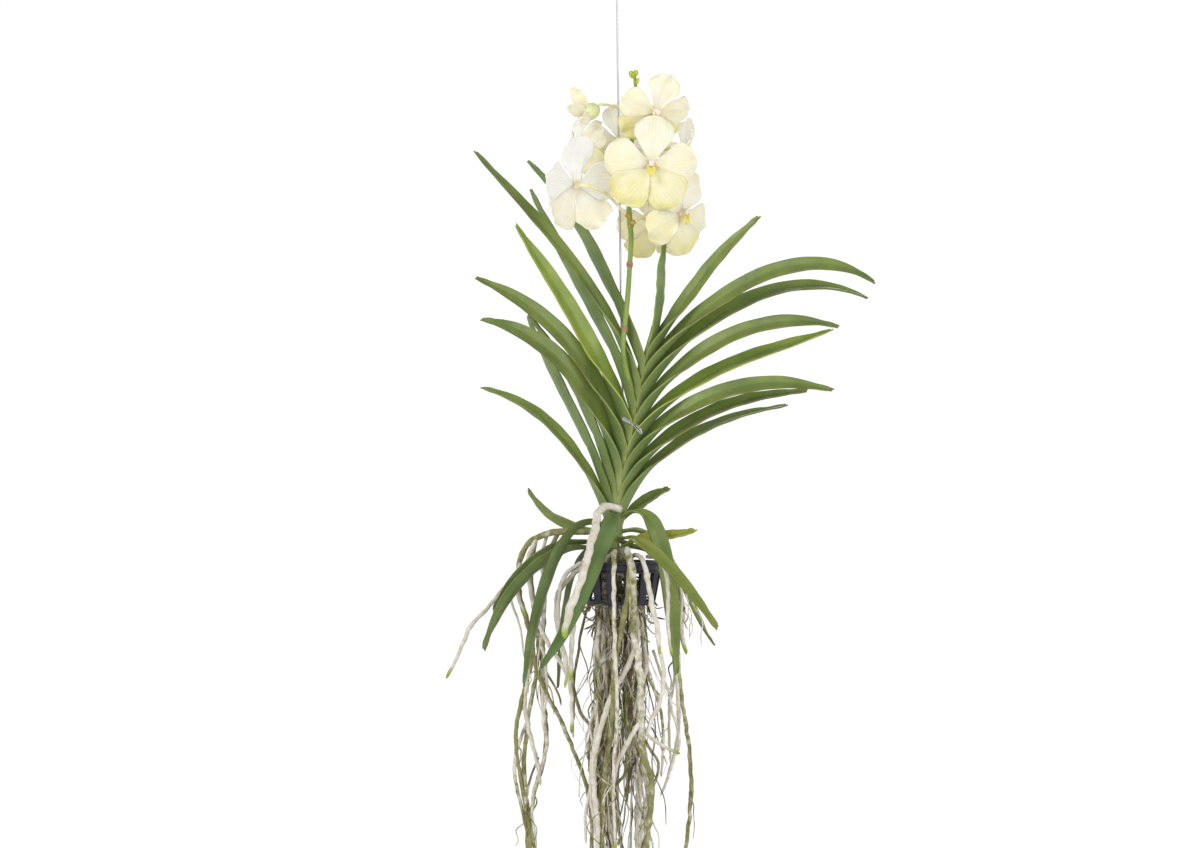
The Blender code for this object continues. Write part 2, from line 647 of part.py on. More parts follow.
def flower(name, number, centre, turn, tip, lean, long, drop):
    """Five tepals round a short column, on a stalk that curves back to the spike."""
    frame = flower_frame(turn, tip, lean)
    facing = frame[2]
    middle = at(*centre)
    pieces = [ball(name, middle + facing * 1.5 * MM, (COLUMN_R, 5.2), facing, "petal_cream")]
    for i, tepal in enumerate(TEPALS):
        def place_of(across, share, tepal=tepal, wave=1.7 * number + 2.1 * i):
            return tepal_place(middle, frame, long, tepal, wave, across, share)
        made = blade(name + "_tepal", place_of, TEPAL_COLUMNS, TEPAL_ROWS, TEPAL_THICK, "petal_cream")
        pieces.append(as_mesh(made))
    root = spike_point(drop)
    out = (middle - root).normalized()
    start = root + (out * (BRACT_OUT + BRACT_LONG + GAP) - UP * BRACT_LOW) * MM
    reach = (middle - start).length
    route = along([start, start + (out + UP * 0.4) * reach * 0.35, middle - facing * reach * 0.3, middle], 7)
    pieces.append(as_mesh(tube(name + "_stalk", route, [PEDICEL_R] * 4 + [1.5, 1.8, 2.2], "petal_cream")))
    return fuse(name, pieces)


def lip(name, centre, turn, tip, lean):
    """The flower's small spoon-shaped lip, below and in front of its column."""
    right, up, facing = flower_frame(turn, tip, lean)
    base = at(*centre) + (facing * 7.2 - up * 2.2) * MM

    def place_of(across, share):
        half = 0.5 * LIP_WIDE * (0.55 + 0.45 * math.cos(math.pi * (share - 0.35) * 1.3))
        out = facing * (LIP_LONG * 0.62 * share) - up * (LIP_LONG * 0.75 * share**1.6)
        raised = up * (LIP_RAISED * across**2 * (1 - share))
        return base + (out + right * across * half + raised) * MM

    return blade(name, place_of, 2, 4, LIP_THICK, "lip_yellow")


def nodding_bud():
    """A flower about to open: its sepals still closed as an egg, with three tepals breaking out."""
    centre, axis, long, wide, drop = NODDING_BUD
    middle, way = at(*centre), Vector(axis).normalized()
    pieces = [ball("nodding_bud", middle, (wide, long * 0.5), way, "petal_cream", 7, 9)]
    for tip, half in NODDING_TEPALS:
        out = at(*tip) - middle
        side = out.cross(Vector((0.3, 0, 1))).normalized()

        def place_of(across, share, out=out, side=side, half=half):
            swell = mix(0.5, 1, smooth(share / 0.5)) * (1 - 0.5 * smooth((share - 0.6) / 0.4))
            bend = out.cross(side) * 0.12 * math.sin(math.pi * share)
            return middle + out * mix(0.15, 1, share) + side * across * half * swell * MM + bend

        pieces.append(as_mesh(blade("tepal", place_of, 2, 4, 1, "petal_cream")))
    root = spike_point(drop)
    top = middle - way * long * 0.45 * MM
    start = root + (top - root).normalized() * (1.9 + GAP) * MM
    route = along([start, start.lerp(top, 0.55) + UP * 5 * MM, top + UP * 1.5 * MM, top + way * 4 * MM], 7)
    pieces.append(as_mesh(tube("bud_stalk", route, [PEDICEL_R] * 7, "petal_cream")))
    return fuse("nodding_bud", pieces)


def laid_root(name, line, material_name, count=ROOT_POINTS, rounding=1):
    """A root along a line of (right, behind, drop, radius)."""
    points = [Vector((*at(*p[:3]), p[3] * MM)) for p in line]
    even = along(points, count)
    return as_mesh(tube(name, [p.to_3d() for p in even], [p.w / MM for p in even], material_name, rounding))


def clear_of(point, middle, short):
    """The point pushed level away from middle until it is short millimetres off."""
    away = Vector((point.x - middle.x, point.y - middle.y, 0))
    lack = short * MM - away.length
    return point + away.normalized() * lack if lack > 0 else point


def in_sector(point, head):
    """The point, moved where needed to stay clear of its sector's bounding planes and of the wire."""
    local = point - hub(0)
    half = math.pi / SECTORS
    for sign in (1, -1):
        inward = heading(head + sign * (math.degrees(half) - 90))
        short = SECTOR_MARGIN * MM - local.dot(inward)
        if short > 0:
            local += inward * short
    return clear_of(hub(0) + local, at(*WIRE_FOOT, 0), WIRE_CLEAR)


def knot_place(head, drop):
    return stem_point(drop) + heading(head) * KNOT_OUT * MM


def bottom_root(head, aim, swing, rng):
    """A root that drops through the basket's bottom and hangs, wandering, below it."""
    out = heading(aim + rng.uniform(-swing, swing))
    ring = rng.uniform(15, 26)
    end = rng.uniform(ROOT_SHORTEST, ROOT_END)
    last = rng.uniform(8, 36)
    radius = rng.choice((1.4, 1.8, 2.3, 2.8))
    floor = RIM_DROP + BASKET_DEEP
    line = [knot_place(head, BOTTOM_ROOT_DROP)]
    line += [hub(floor - 12) + out * ring * 0.9 * MM, hub(floor + 6) + out * ring * MM]
    for i in range(1, 6):
        stray = Vector((rng.uniform(-9, 9), rng.uniform(-9, 9), 0)) * MM
        line.append(hub(mix(floor + 6, end, i / 5)) + out * mix(ring, last, i / 5) * MM + stray)
    route = along(line, ROOT_POINTS)
    route = route[:1] + [in_sector(p, head) for p in route[1:]]
    return route, [mix(radius, radius * 0.7, i / (ROOT_POINTS - 1)) for i in range(ROOT_POINTS)]


def rim_root(head, over, rng):
    """A root that climbs out over the rim and hangs outside the basket."""
    out = heading(over)
    end = rng.uniform(720, 900)
    clear = RIM_R + RIM_STAND_OFF
    line = [knot_place(head, RIM_ROOT_DROP), hub(RIM_CREST_DROP) + out * clear * 0.62 * MM]
    line.append(hub(RIM_CREST_DROP + 1) + out * (clear - 4) * MM)
    line.append(hub(RIM_CREST_DROP + 16) + out * (clear + 1) * MM)
    for i in range(1, 5):
        stray = Vector((rng.uniform(-5, 5), rng.uniform(-5, 5), 0)) * MM
        line.append(hub(mix(612, end, i / 4)) + out * (clear - 3 * i) * MM + stray)
    count = ROOT_POINTS + 5
    return along(line, count), [mix(2.5, 1.6, i / (count - 1)) for i in range(count)]


def root_sector(name, head, below, aim, swing, over, seed):
    """A third of the root ball: a knot beside the stem and the roots that grow from it."""
    rng = random.Random(seed)
    pieces = [ball(name, knot_place(head, KNOT_DROP), KNOT_SIZE, UP, "root_olive", 6, 7)]
    routes = [bottom_root(head, aim, swing, rng) for _ in range(below)]
    routes += [rim_root(head, angle, rng) for angle in over]
    for route, radii in routes:
        pieces.append(as_mesh(tube(name + "_root", route, radii, "root_olive", int(radii[0] > 2))))
    if name == "roots_front_right":
        pieces.append(laid_root("front_root", FRONT_ROOT, "root_olive", 14))
        pieces.append(laid_root("pale_root", PALE_ROOT, "root_olive", 8))
    return fuse(name, pieces)


def branching_roots(name, lines, material_name):
    return fuse(name, [laid_root(name, line, material_name, len(line) + 2) for line in lines])


def build():
    for old in list(bpy.data.objects):
        bpy.data.objects.remove(old)
    for name in ("vanda_orchid", "cutters"):
        bpy.context.scene.collection.children.link(bpy.data.collections.new(name))
    wire_hook()
    hanger_wire()
    stem_tie()
    basket()
    trunk = stem()
    for name, numbers in FAN_LEAVES.items():
        fan_leaf(name, trunk, *numbers)
    for name, numbers in BASAL_LEAVES.items():
        basal_leaf(name, trunk, *numbers)
    spike()
    for number, (name, numbers) in enumerate(FLOWERS.items()):
        bloom = flower(name, number, *numbers)
        seat(lip(name + "_lip", *numbers[:4]), bloom, -flower_frame(*numbers[1:4])[2])
    nodding_bud()
    white = laid_root("root_white", WHITE_ROOT, "root_silver", 14, 2)
    white.name = "root_white"
    seat(white, trunk, Vector((0, 1, 0)))
    seat(branching_roots("roots_left", LEFT_ROOTS, "root_olive"), trunk, Vector((1, 0, 0)))
    seat(branching_roots("roots_right", RIGHT_ROOTS, "root_olive"), trunk, Vector((-1, 0, 0)))
    for name, numbers in ROOT_SECTORS.items():
        seat(root_sector(name, *numbers), trunk, -heading(numbers[0]))
    for obj in bpy.data.collections["vanda_orchid"].objects:
        if obj.type == "MESH":
            obj.data.shade_smooth()


build()
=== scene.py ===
import random
from math import cos, exp, pi, radians, sin, sqrt

import bmesh
import bpy
from mathutils import Matrix, Vector
from mathutils.noise import noise


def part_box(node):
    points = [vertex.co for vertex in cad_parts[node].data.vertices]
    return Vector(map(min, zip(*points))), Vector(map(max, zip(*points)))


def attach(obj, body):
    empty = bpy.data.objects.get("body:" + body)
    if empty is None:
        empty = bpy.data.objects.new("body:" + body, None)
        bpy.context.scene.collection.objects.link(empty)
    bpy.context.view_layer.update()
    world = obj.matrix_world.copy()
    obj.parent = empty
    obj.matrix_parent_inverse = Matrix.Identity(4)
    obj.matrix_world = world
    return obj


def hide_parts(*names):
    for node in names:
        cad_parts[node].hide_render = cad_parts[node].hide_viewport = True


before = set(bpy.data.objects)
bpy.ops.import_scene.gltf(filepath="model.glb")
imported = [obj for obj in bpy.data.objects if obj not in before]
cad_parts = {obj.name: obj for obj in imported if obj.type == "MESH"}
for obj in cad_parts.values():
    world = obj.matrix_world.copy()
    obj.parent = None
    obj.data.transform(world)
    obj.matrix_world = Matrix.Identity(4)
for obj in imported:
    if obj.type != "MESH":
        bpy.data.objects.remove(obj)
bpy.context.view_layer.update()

mm = 0.001
up = Vector((0, 0, 1))
wireBehind = 13  # the wire and its hook hang this far behind the plane of the stem


def at(right, behind, drop):
    return Vector((right, behind - wireBehind, -drop)) * mm


def smooth(x):
    x = min(1.0, max(0.0, x))
    return x * x * (3 - 2 * x)


def mix(a, b, share):
    return a + (b - a) * share


def tapered(first, last, count):
    return [mix(first, last, i / (count - 1)) for i in range(count)]


def around(turn, side, other):
    return side * cos(turn) + other * sin(turn)


def heading(degrees):
    return around(radians(degrees), Vector((1, 0, 0)), Vector((0, 1, 0)))


# evenly spaced points on a smooth curve through the given ones
def along(points, count, steps=12):
    ends = [2 * points[0] - points[1], *points, 2 * points[-1] - points[-2]]
    fine = []
    for a, b, c, d in zip(ends, ends[1:], ends[2:], ends[3:]):
        for t in (step / steps for step in range(steps)):
            bent, curled = 2 * a - 5 * b + 4 * c - d, 3 * b - a - 3 * c + d
            fine.append((2 * b + (c - a) * t + bent * t**2 + curled * t**3) / 2)
    fine.append(points[-1])
    reach = [0.0]
    for a, b in zip(fine, fine[1:]):
        reach.append(reach[-1] + (b - a).length)
    even, seg = [], 0
    for goal in tapered(0, reach[-1], count):
        while seg < len(fine) - 2 and reach[seg + 1] < goal:
            seg += 1
        even.append(fine[seg].lerp(fine[seg + 1], (goal - reach[seg]) / (reach[seg + 1] - reach[seg])))
    return even


# an even route whose points also carry its radius
def sized(route, radii, count):
    return along([Vector((*p, radius * mm)) for p, radius in zip(route, radii)], count)


# the same from a table's rows of right, behind, drop and radius
def laid(rows, count):
    return sized([at(*row[:3]) for row in rows], [row[3] for row in rows], count)


def runAt(route, i):
    return (route[min(i + 1, len(route) - 1)] - route[max(i - 1, 0)]).to_3d().normalized()


# how far a solid was slid along way to meet what carries it
def slidBy(node, points, way):
    low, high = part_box(node)
    middle = Vector([(min(p[i] for p in points) + max(p[i] for p in points)) / 2 for i in range(3)])
    return way * ((low + high) / 2 - middle).dot(way)


# a ring of corners square to run, the first of them on the given side
def ringAt(bm, centre, run, side, sides, radiusOf):
    ring = []
    for k in range(sides):
        turn = 2 * pi * k / sides
        way = around(turn, side, run.cross(side))
        ring.append(bm.verts.new(centre + way * radiusOf(turn, way)))
    return ring


def ringsToTube(bm, rings, endless=False):
    faces = []
    for ring, after in zip(rings, rings[1:] + (rings[:1] if endless else [])):
        for k, vert in enumerate(ring):
            ahead = (k + 1) % len(ring)
            faces.append(bm.faces.new((vert, ring[ahead], after[ahead], after[k])))
    if not endless:
        faces += [bm.faces.new(rings[0][::-1]), bm.faces.new(rings[-1])]
    return faces


# faces between rows of corners, mapped by how far across and along they are, past the rows below
def weave(bm, grid, below=0):
    uv = bm.loops.layers.uv.get("UVMap") or bm.loops.layers.uv.new("UVMap")
    rows, columns = len(grid) - 1, len(grid[0]) - 1
    for j in range(rows):
        for i in range(columns):
            corners = ((i, j), (i + 1, j), (i + 1, j + 1), (i, j + 1))
            face = bm.faces.new([grid[b][a] for a, b in corners])
            for loop, (a, b) in zip(face.loops, corners):
                loop[uv].uv = (a / columns, (b - below) / (rows - below))


def newObject(name, data):
    obj = bpy.data.objects.new(name, data)
    bpy.context.scene.collection.objects.link(obj)
    return obj


def meshPiece(name, bm, *names):
    mesh = bpy.data.meshes.new(name)
    bm.to_mesh(mesh)
    bm.free()
    for finish in names:
        mesh.materials.append(finishes[finish])
    return newObject(name, mesh)


# the same for a closed body, with its faces turned outwards
def closedPiece(name, bm, *names):
    bmesh.ops.recalc_face_normals(bm, faces=bm.faces)
    return meshPiece(name, bm, *names)


def thicken(obj, thick):
    body = obj.modifiers.new("body", "SOLIDIFY")
    body.thickness = thick * mm
    body.offset = 0
    return body


def roundEdges(obj, name, width, degrees):
    bevel = obj.modifiers.new(name, "BEVEL")
    bevel.width = width * mm
    bevel.segments = 2
    bevel.limit_method = "ANGLE"
    bevel.angle_limit = radians(degrees)


def showPiece(obj, slotName, *nodes):
    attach(obj, "root")
    if nodes:
        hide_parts(*nodes)
    for face in obj.data.polygons:
        face.use_smooth = True
    return obj


def rgba(red, green, blue):  # from the usual 0 to 255 numbers
    return (*[((c / 255 + 0.055) / 1.055)**2.4 if c > 10 else c / 3294.6 for c in (red, green, blue)], 1)


class nodeDesk:
    def __init__(self, name):
        self.material = bpy.data.materials.new(name)
        self.material.use_nodes = True
        self.nodes = self.material.node_tree.nodes
        self.links = self.material.node_tree.links
        self.shader = self.nodes["Principled BSDF"]
        self.places = self.add("ShaderNodeTexCoord").outputs["Object"]

    def feed(self, socket, value):
        if isinstance(value, bpy.types.NodeSocket):
            self.links.new(value, socket)
        else:
            socket.default_value = value

    def add(self, kind, inputs=None, **settings):
        node = self.nodes.new(kind)
        for key, value in settings.items():
            setattr(node, key, value)
        for key, value in (inputs or {}).items():
            self.feed(node.inputs[key], value)
        return node

    def math(self, operation, *values):
        return self.add("ShaderNodeMath", dict(enumerate(values)), operation=operation).outputs[0]

    def times(self, first, second):
        return self.math("MULTIPLY", first, second)

    def plus(self, first, second):
        return self.math("ADD", first, second)

    def span(self, value, low, high, first=0.0, last=1.0):
        inputs = dict(enumerate((value, low, high, first, last)))
        return self.add("ShaderNodeMapRange", inputs).outputs[0]

    def blend(self, share, first, second):
        return self.add("ShaderNodeMix", {0: share, 6: first, 7: second}, data_type="RGBA").outputs[2]

    # only part of the way to the other colour
    def tint(self, share, body, amount, colour):
        return self.blend(share, body, self.blend(amount, body, colour))

    def noise(self, scale, detail=3.0, rough=0.5, drawn=1, vector=None):
        vector = vector or self.places
        if drawn != 1:
            vector = self.add("ShaderNodeMapping", {"Vector": vector, "Scale": (1, 1, drawn)}).outputs[0]
        inputs = {"Vector": vector, "Scale": scale, "Detail": detail, "Roughness": rough}
        return self.add("ShaderNodeTexNoise", inputs).outputs["Fac"]

    # two colours in patches
    def patched(self, pattern, low, high, first, second):
        return self.blend(self.span(pattern, low, high), rgba(*first), rgba(*second))

    # lines that run lengthwise and wander a little
    def lined(self, across, pitch, wander=0.0, sway=1):
        return self.math("SINE", self.plus(self.times(across, pitch), self.times(wander, sway)))

    def bump(self, height, distance, strength=1.0, under=None):
        inputs = {"Height": height, "Distance": distance, "Strength": strength}
        if under:
            inputs["Normal"] = under
        return self.add("ShaderNodeBump", inputs).outputs[0]

    def acrossAlong(self):
        parts = self.add("ShaderNodeSeparateXYZ", {0: self.add("ShaderNodeUVMap").outputs[0]})
        return parts.outputs[0], parts.outputs[1]

    def painted(self, name):
        paint = self.add("ShaderNodeAttribute", attribute_name=name).outputs["Color"]
        return self.add("ShaderNodeSeparateColor", {0: paint}).outputs

    def dress(self, colour, rough, relief, specular=0.5, glow=(0, (1, 0.2, 0.1), 0.05)):
        sockets = self.shader.inputs
        for key, value in (("Base Color", colour), ("Roughness", rough), ("Normal", relief)):
            self.feed(sockets[key], value)
        sockets["Specular IOR Level"].default_value = specular
        for key, value in zip(("Weight", "Radius", "Scale"), glow):
            sockets["Subsurface " + key].default_value = value
        return self.material


def leafMaterial(name, fresh, dull, sheath, margin, tip, shine):
    desk = nodeDesk(name)
    across, share = desk.acrossAlong()
    sheath, margin, tip = rgba(*sheath), rgba(*margin), rgba(*tip)
    body = desk.patched(desk.noise(26, 4, 0.55), 0.36, 0.66, fresh, dull)
    # close veins that fade towards the tip
    fading = desk.span(share, 0.5, 0.85, 1, 0.1)
    veins = desk.times(desk.span(desk.lined(across, 118, desk.noise(40, 2), 3.0), -0.2, 1), fading)
    body = desk.tint(desk.times(veins, 0.16), body, 0.4, sheath)
    drawnOut = desk.add("ShaderNodeCombineXYZ", {0: desk.times(across, 46), 1: desk.times(share, 2.2)})
    streaks = desk.noise(1, 4, 0.6, vector=drawnOut.outputs[0])
    body = desk.tint(desk.times(desk.span(streaks, 0.45, 0.75, 0, 0.35), fading), body, 0.5, sheath)
    body = desk.tint(desk.times(desk.span(streaks, 0.46, 0.28, 0, 0.3), fading), body, 0.55, rgba(44, 62, 34))
    offMiddle = desk.math("ABSOLUTE", desk.math("SUBTRACT", across, 0.5))
    # down the middle of the leaf: a bump for the keel, and painted shade as a darker line in its groove
    keel = desk.span(offMiddle, 0.0, 0.022, 1, 0)
    body = desk.tint(desk.times(keel, 0.3), body, 0.5, rgba(52, 74, 36))
    body = desk.blend(desk.span(share, -0.08, 0.12, 0.75, 0), body, sheath)
    edge = desk.times(desk.span(offMiddle, 0.482, 0.5), desk.span(desk.noise(45), 0.42, 0.64, 0.1, 0.6))
    body = desk.blend(edge, body, desk.blend(desk.span(share, 0.08, 0.3, 0.85, 0), margin, sheath))
    withered = desk.span(desk.plus(share, desk.times(desk.noise(210), 0.05)), 1.012, 1.04)
    body = desk.blend(withered, body, tip)
    specks = desk.span(desk.noise(900, 2, 0.6), 0.69, 0.76)
    body = desk.blend(desk.times(specks, 0.16), body, tip)
    rough = desk.span(desk.noise(130), 0.3, 0.7, shine - 0.06, shine + 0.1)
    relief = desk.bump(keel, 0.0008, 0.5, desk.bump(veins, 0.00008, 0.6))
    relief = desk.bump(desk.noise(90), 0.0006, 0.35, relief)
    return desk.dress(body, rough, relief, 0.4, (0.06, (0.3, 0.8, 0.1), 0.002))


def petalMaterial(name):
    desk = nodeDesk(name)
    across, share = desk.acrossAlong()
    warm, depth = desk.painted("warmth")[:2]
    wander = desk.noise(130)
    clouds = desk.noise(60, 4, 0.6)
    # veins fan out from the claw, since the blade widens, and fork towards the rim
    forks = desk.span(desk.lined(across, 160, wander, 14), 0.6, 1)
    forks = desk.times(forks, desk.span(share, 0.45, 0.8, 0, 0.5))
    veins = desk.plus(desk.span(desk.lined(across, 74, wander, 8), 0.35, 1), forks)
    veins = desk.times(veins, desk.span(desk.noise(170, 3, 0.6), 0.36, 0.62, 0.15, 1))
    veins = desk.times(veins, desk.span(share, 0.9, 0.99, 1, 0.1))
    cream = desk.patched(clouds, 0.35, 0.68, (248, 243, 230), (244, 237, 210))
    cream = desk.blend(desk.span(warm, 0.0, 0.045), rgba(251, 250, 247), cream)
    lemon = desk.patched(clouds, 0.35, 0.68, (238, 231, 158), (228, 221, 126))
    body = desk.tint(desk.times(veins, 0.3), desk.blend(warm, cream, lemon), 0.6, rgba(204, 190, 138))
    body = desk.blend(desk.span(share, 0.0, 0.13, 0.4, 0), body, rgba(236, 224, 190))
    body = desk.blend(desk.times(depth, 0.25), body, rgba(214, 204, 130))
    relief = desk.bump(desk.noise(700, 2), 0.00006, 0.5, desk.bump(veins, 0.0003, 0.7))
    return desk.dress(body, 0.52, relief, 0.3, (0.45, (1.0, 0.95, 0.8), 0.0014))


def lipMaterial(name):
    desk = nodeDesk(name)
    across, share = desk.acrossAlong()
    base = desk.patched(desk.noise(240), 0.4, 0.6, (242, 234, 132), (236, 220, 98))
    stripes = desk.span(desk.lined(across, 48), 0.2, 0.9)
    speckle = desk.span(desk.noise(900, 2), 0.5, 0.58)
    marks = desk.plus(desk.times(speckle, 0.7), desk.times(stripes, 0.25))
    body = desk.blend(desk.times(desk.span(share, 0.05, 0.42, 1, 0), marks), base, rgba(136, 56, 36))
    body = desk.blend(desk.span(share, 0.86, 1.0, 0, 0.45), body, rgba(206, 206, 96))
    return desk.dress(body, 0.42, desk.bump(stripes, 0.0002, 0.4), glow=(0.2, (1.0, 0.6, 0.2), 0.001))


# the root's colours are painted per ring: how olive, how green at the tip, how brown
def rootMaterial(name):
    desk = nodeDesk(name)
    olive, green, brown = desk.painted("rootTone")
    patches = desk.noise(120, 5, 0.62)
    fibres = desk.noise(420, 4, 0.6, 0.14)

    def broken(tone, pattern, strength, low, high):
        shift = desk.times(desk.math("SUBTRACT", pattern, 0.5), strength)
        return desk.span(desk.plus(tone, shift), low, high)

    silver = desk.patched(patches, 0.38, 0.68, (234, 230, 219), (204, 194, 170))
    mossy = desk.patched(patches, 0.35, 0.62, (166, 161, 112), (122, 123, 72))
    bark = desk.patched(patches, 0.38, 0.62, (116, 99, 72), (76, 64, 46))
    body = desk.blend(broken(olive, patches, 1.5, 0.3, 0.7), silver, mossy)
    body = desk.blend(broken(brown, fibres, 1.4, 0.35, 0.75), body, bark)
    body = desk.tint(desk.span(fibres, 0.54, 0.74, 0, 0.3), body, 0.5, rgba(88, 80, 62))
    body = desk.blend(green, body, desk.patched(patches, 0.4, 0.6, (168, 184, 52), (138, 158, 44)))
    relief = desk.bump(desk.noise(260, 4, 0.7), 0.0009, 0.6, desk.bump(fibres, 0.0005, 0.6))
    return desk.dress(body, desk.math("SUBTRACT", 0.82, desk.times(green, 0.4)), relief)


def plasticMaterial(name):
    desk = nodeDesk(name)
    dust = desk.span(desk.noise(150, 5, 0.65), 0.5, 0.72)
    body = desk.blend(desk.times(dust, 0.35), rgba(36, 36, 52), rgba(88, 86, 92))
    rough = desk.span(desk.noise(300), 0.3, 0.7, 0.34, 0.5)
    return desk.dress(body, rough, desk.bump(desk.noise(1400, 2), 0.00004, 0.6))


def steelMaterial(name):
    desk = nodeDesk(name)
    drawn = desk.noise(900, 3, 0.6, 0.03)
    body = desk.patched(drawn, 0.35, 0.7, (186, 185, 192), (208, 207, 214))
    body = desk.blend(desk.span(desk.noise(160, 4, 0.6), 0.68, 0.8, 0, 0.3), body, rgba(140, 130, 126))
    desk.shader.inputs["Metallic"].default_value = 1.0
    return desk.dress(body, desk.span(drawn, 0.3, 0.7, 0.24, 0.34), desk.bump(drawn, 0.00002, 0.3))


def plainMaterial(name, first, second, scale, rough, relief, drawn, through):
    desk = nodeDesk(name)
    patches = desk.noise(scale, 4, 0.6, drawn)
    body = desk.patched(patches, 0.38, 0.64, first, second)
    grain = desk.bump(desk.noise(scale * 5, 3, 0.6, drawn), relief, 0.8)
    shine = desk.span(patches, 0.3, 0.7, rough - 0.08, rough + 0.08)
    return desk.dress(body, shine, grain, glow=(through, (1.0, 0.8, 0.4), 0.0015))


finishes = {
    "tepalCream": petalMaterial("tepalCream"),
    "lipYellow": lipMaterial("lipYellow"),
    "rootSkin": rootMaterial("rootSkin"),
    "basketPlastic": plasticMaterial("basketPlastic"),
    "drawnSteel": steelMaterial("drawnSteel"),
}
# fresh and dull green, sheath, margin, withered tip, roughness
leafTones = {
    "leafTop": ((128, 145, 72), (102, 121, 60), (162, 174, 88), (104, 72, 56), (132, 98, 60), 0.36),
    "leafUnder": ((124, 144, 84), (100, 122, 68), (154, 166, 100), (104, 72, 60), (124, 96, 62), 0.48),
    "leafBright": ((148, 166, 74), (120, 143, 62), (180, 190, 92), (190, 186, 84), (136, 104, 58), 0.34),
    # a copy of the leafTop tones made darker all through: painted shade for the leaves that hang behind the
    # fan or under the basket
    "leafDark": ((100, 126, 62), (78, 106, 52), (130, 146, 76), (92, 66, 50), (108, 82, 54), 0.36),
    "leafYellow": ((176, 174, 66), (138, 148, 58), (184, 182, 90), (168, 132, 66), (140, 102, 54), 0.42),
    "leafOlive": ((136, 146, 62), (108, 124, 52), (156, 160, 80), (150, 116, 62), (132, 84, 48), 0.42),
}
# two colours, scale of the patches, roughness, relief, drawn out lengthwise, light let through
plainTones = {
    "columnWhite": ((252, 248, 244), (244, 218, 214), 300, 0.45, 0.0001, 1, 0.3),
    "throatRed": ((150, 60, 44), (120, 40, 30), 600, 0.5, 0.0001, 1, 0),
    "pedicelCream": ((246, 240, 206), (232, 226, 168), 120, 0.45, 0.0002, 0.3, 0.2),
    "bractOrange": ((224, 170, 72), (176, 120, 58), 260, 0.55, 0.0002, 1, 0),
    "spikeGreen": ((146, 166, 78), (112, 138, 58), 80, 0.4, 0.0003, 0.2, 0),
    "collarPink": ((176, 140, 104), (140, 96, 80), 260, 0.55, 0.0002, 1, 0),
    "budGreen": ((196, 204, 72), (164, 180, 52), 200, 0.4, 0.0001, 1, 0.2),
    "budPale": ((228, 232, 178), (206, 214, 140), 90, 0.48, 0.0002, 0.4, 0.3),
    "stemSheath": ((150, 150, 88), (116, 104, 66), 160, 0.66, 0.0005, 0.12, 0),
}
for name, tones in leafTones.items():
    finishes[name] = leafMaterial(name, *tones)
for name, tones in plainTones.items():
    finishes[name] = plainMaterial(name, *tones)
print("materials made")


# a stiff wire with an open hook
hanger = {
    "radius": 1.1,
    "hookRadius": 12,
    "hookTurns": (-40, 232),
    "shank": (
        (-2.2, 13, 26), (-0.4, 13, 31), (0, 13, 38), (1.6, 13, 160), (3.4, 13, 290), (5, 13, 400),
        (6, 13, 465), (5, 13, 560), (4, 13, 639.4), (4, 12.3, 643.6), (4, 10.6, 645.4), (3, -15.4, 645.4),
    ),
    "foot": (4, 13),
    "points": 260,
}


def buildHanger():
    eye = Vector((0, wireBehind, hanger["hookRadius"] - hanger["radius"]))
    turns = tapered(*hanger["hookTurns"], 13)
    route = [eye + around(radians(turn), Vector((1, 0, 0)), -up) * hanger["hookRadius"] for turn in turns]
    route += [Vector(p) for p in hanger["shank"]]
    curve = bpy.data.curves.new("hangerWire", "CURVE")
    curve.dimensions = "3D"
    curve.bevel_depth = hanger["radius"] * mm
    curve.bevel_resolution = 8
    curve.use_fill_caps = True
    spline = curve.splines.new("POLY")
    spline.points.add(hanger["points"] - 1)
    for point, place in zip(spline.points, along(route, hanger["points"])):
        point.co = (*at(*place), 1)
    curve.materials.append(finishes["drawnSteel"])
    return newObject("hangerWire", curve)


tie = {
    "loop": (
        (15.4, -7.4, 464), (7, -12.4, 458), (6.4, -14.2, 459.5), (15.5, -10.2, 465), (23.5, -12.5, 473),
        (24.6, -11, 471), (18.8, -6.3, 464), (22.7, -0.5, 462), (20.9, 4.6, 462.5), (17.6, 7.2, 463.5),
        (9.2, 14.7, 464.5), (6, 15.5, 464.3), (3.6, 13.4, 464.3), (5.4, 10.8, 464.3), (15, 7.4, 464),
        (13.5, 4.6, 464.4), (10.6, 0.3, 464), (11.4, -3.4, 464),
    ),
    "strand": 0.55,
    "apart": 0.58,
    "turns": 2,
    "points": 260,
}


# a doubled thin wire, wound round itself all along the loop
def buildTie():
    loop = [at(*p) for p in tie["loop"]]
    route = along(loop + [loop[0]], tie["points"])[:-1]
    bm = bmesh.new()
    for strand in range(2):
        rings = []
        for i, place in enumerate(route):
            run = (route[(i + 1) % len(route)] - route[i - 1]).normalized()
            side = run.cross(Vector((0.2, 0.1, 1))).normalized()
            wind = 2 * pi * (tie["turns"] * i / len(route) + strand / 2)
            centre = place + around(wind, side, run.cross(side)) * tie["apart"] * mm
            rings.append(ringAt(bm, centre, run, side, 8, lambda turn, way: tie["strand"] * mm))
        ringsToTube(bm, rings, endless=True)
    return closedPiece("stemTie", bm, "drawnSteel")


wire = buildHanger()
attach(wire, "root")
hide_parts("hanger_wire", "wire_hook")
showPiece(buildTie(), "wire_steel", "stem_tie")
print("hanger and tie made")


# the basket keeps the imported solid's shape, with its moulded edges rounded
basket = {"right": 3, "rimRadius": 40, "floorDrop": 644, "edge": 0.35, "sharp": 28}


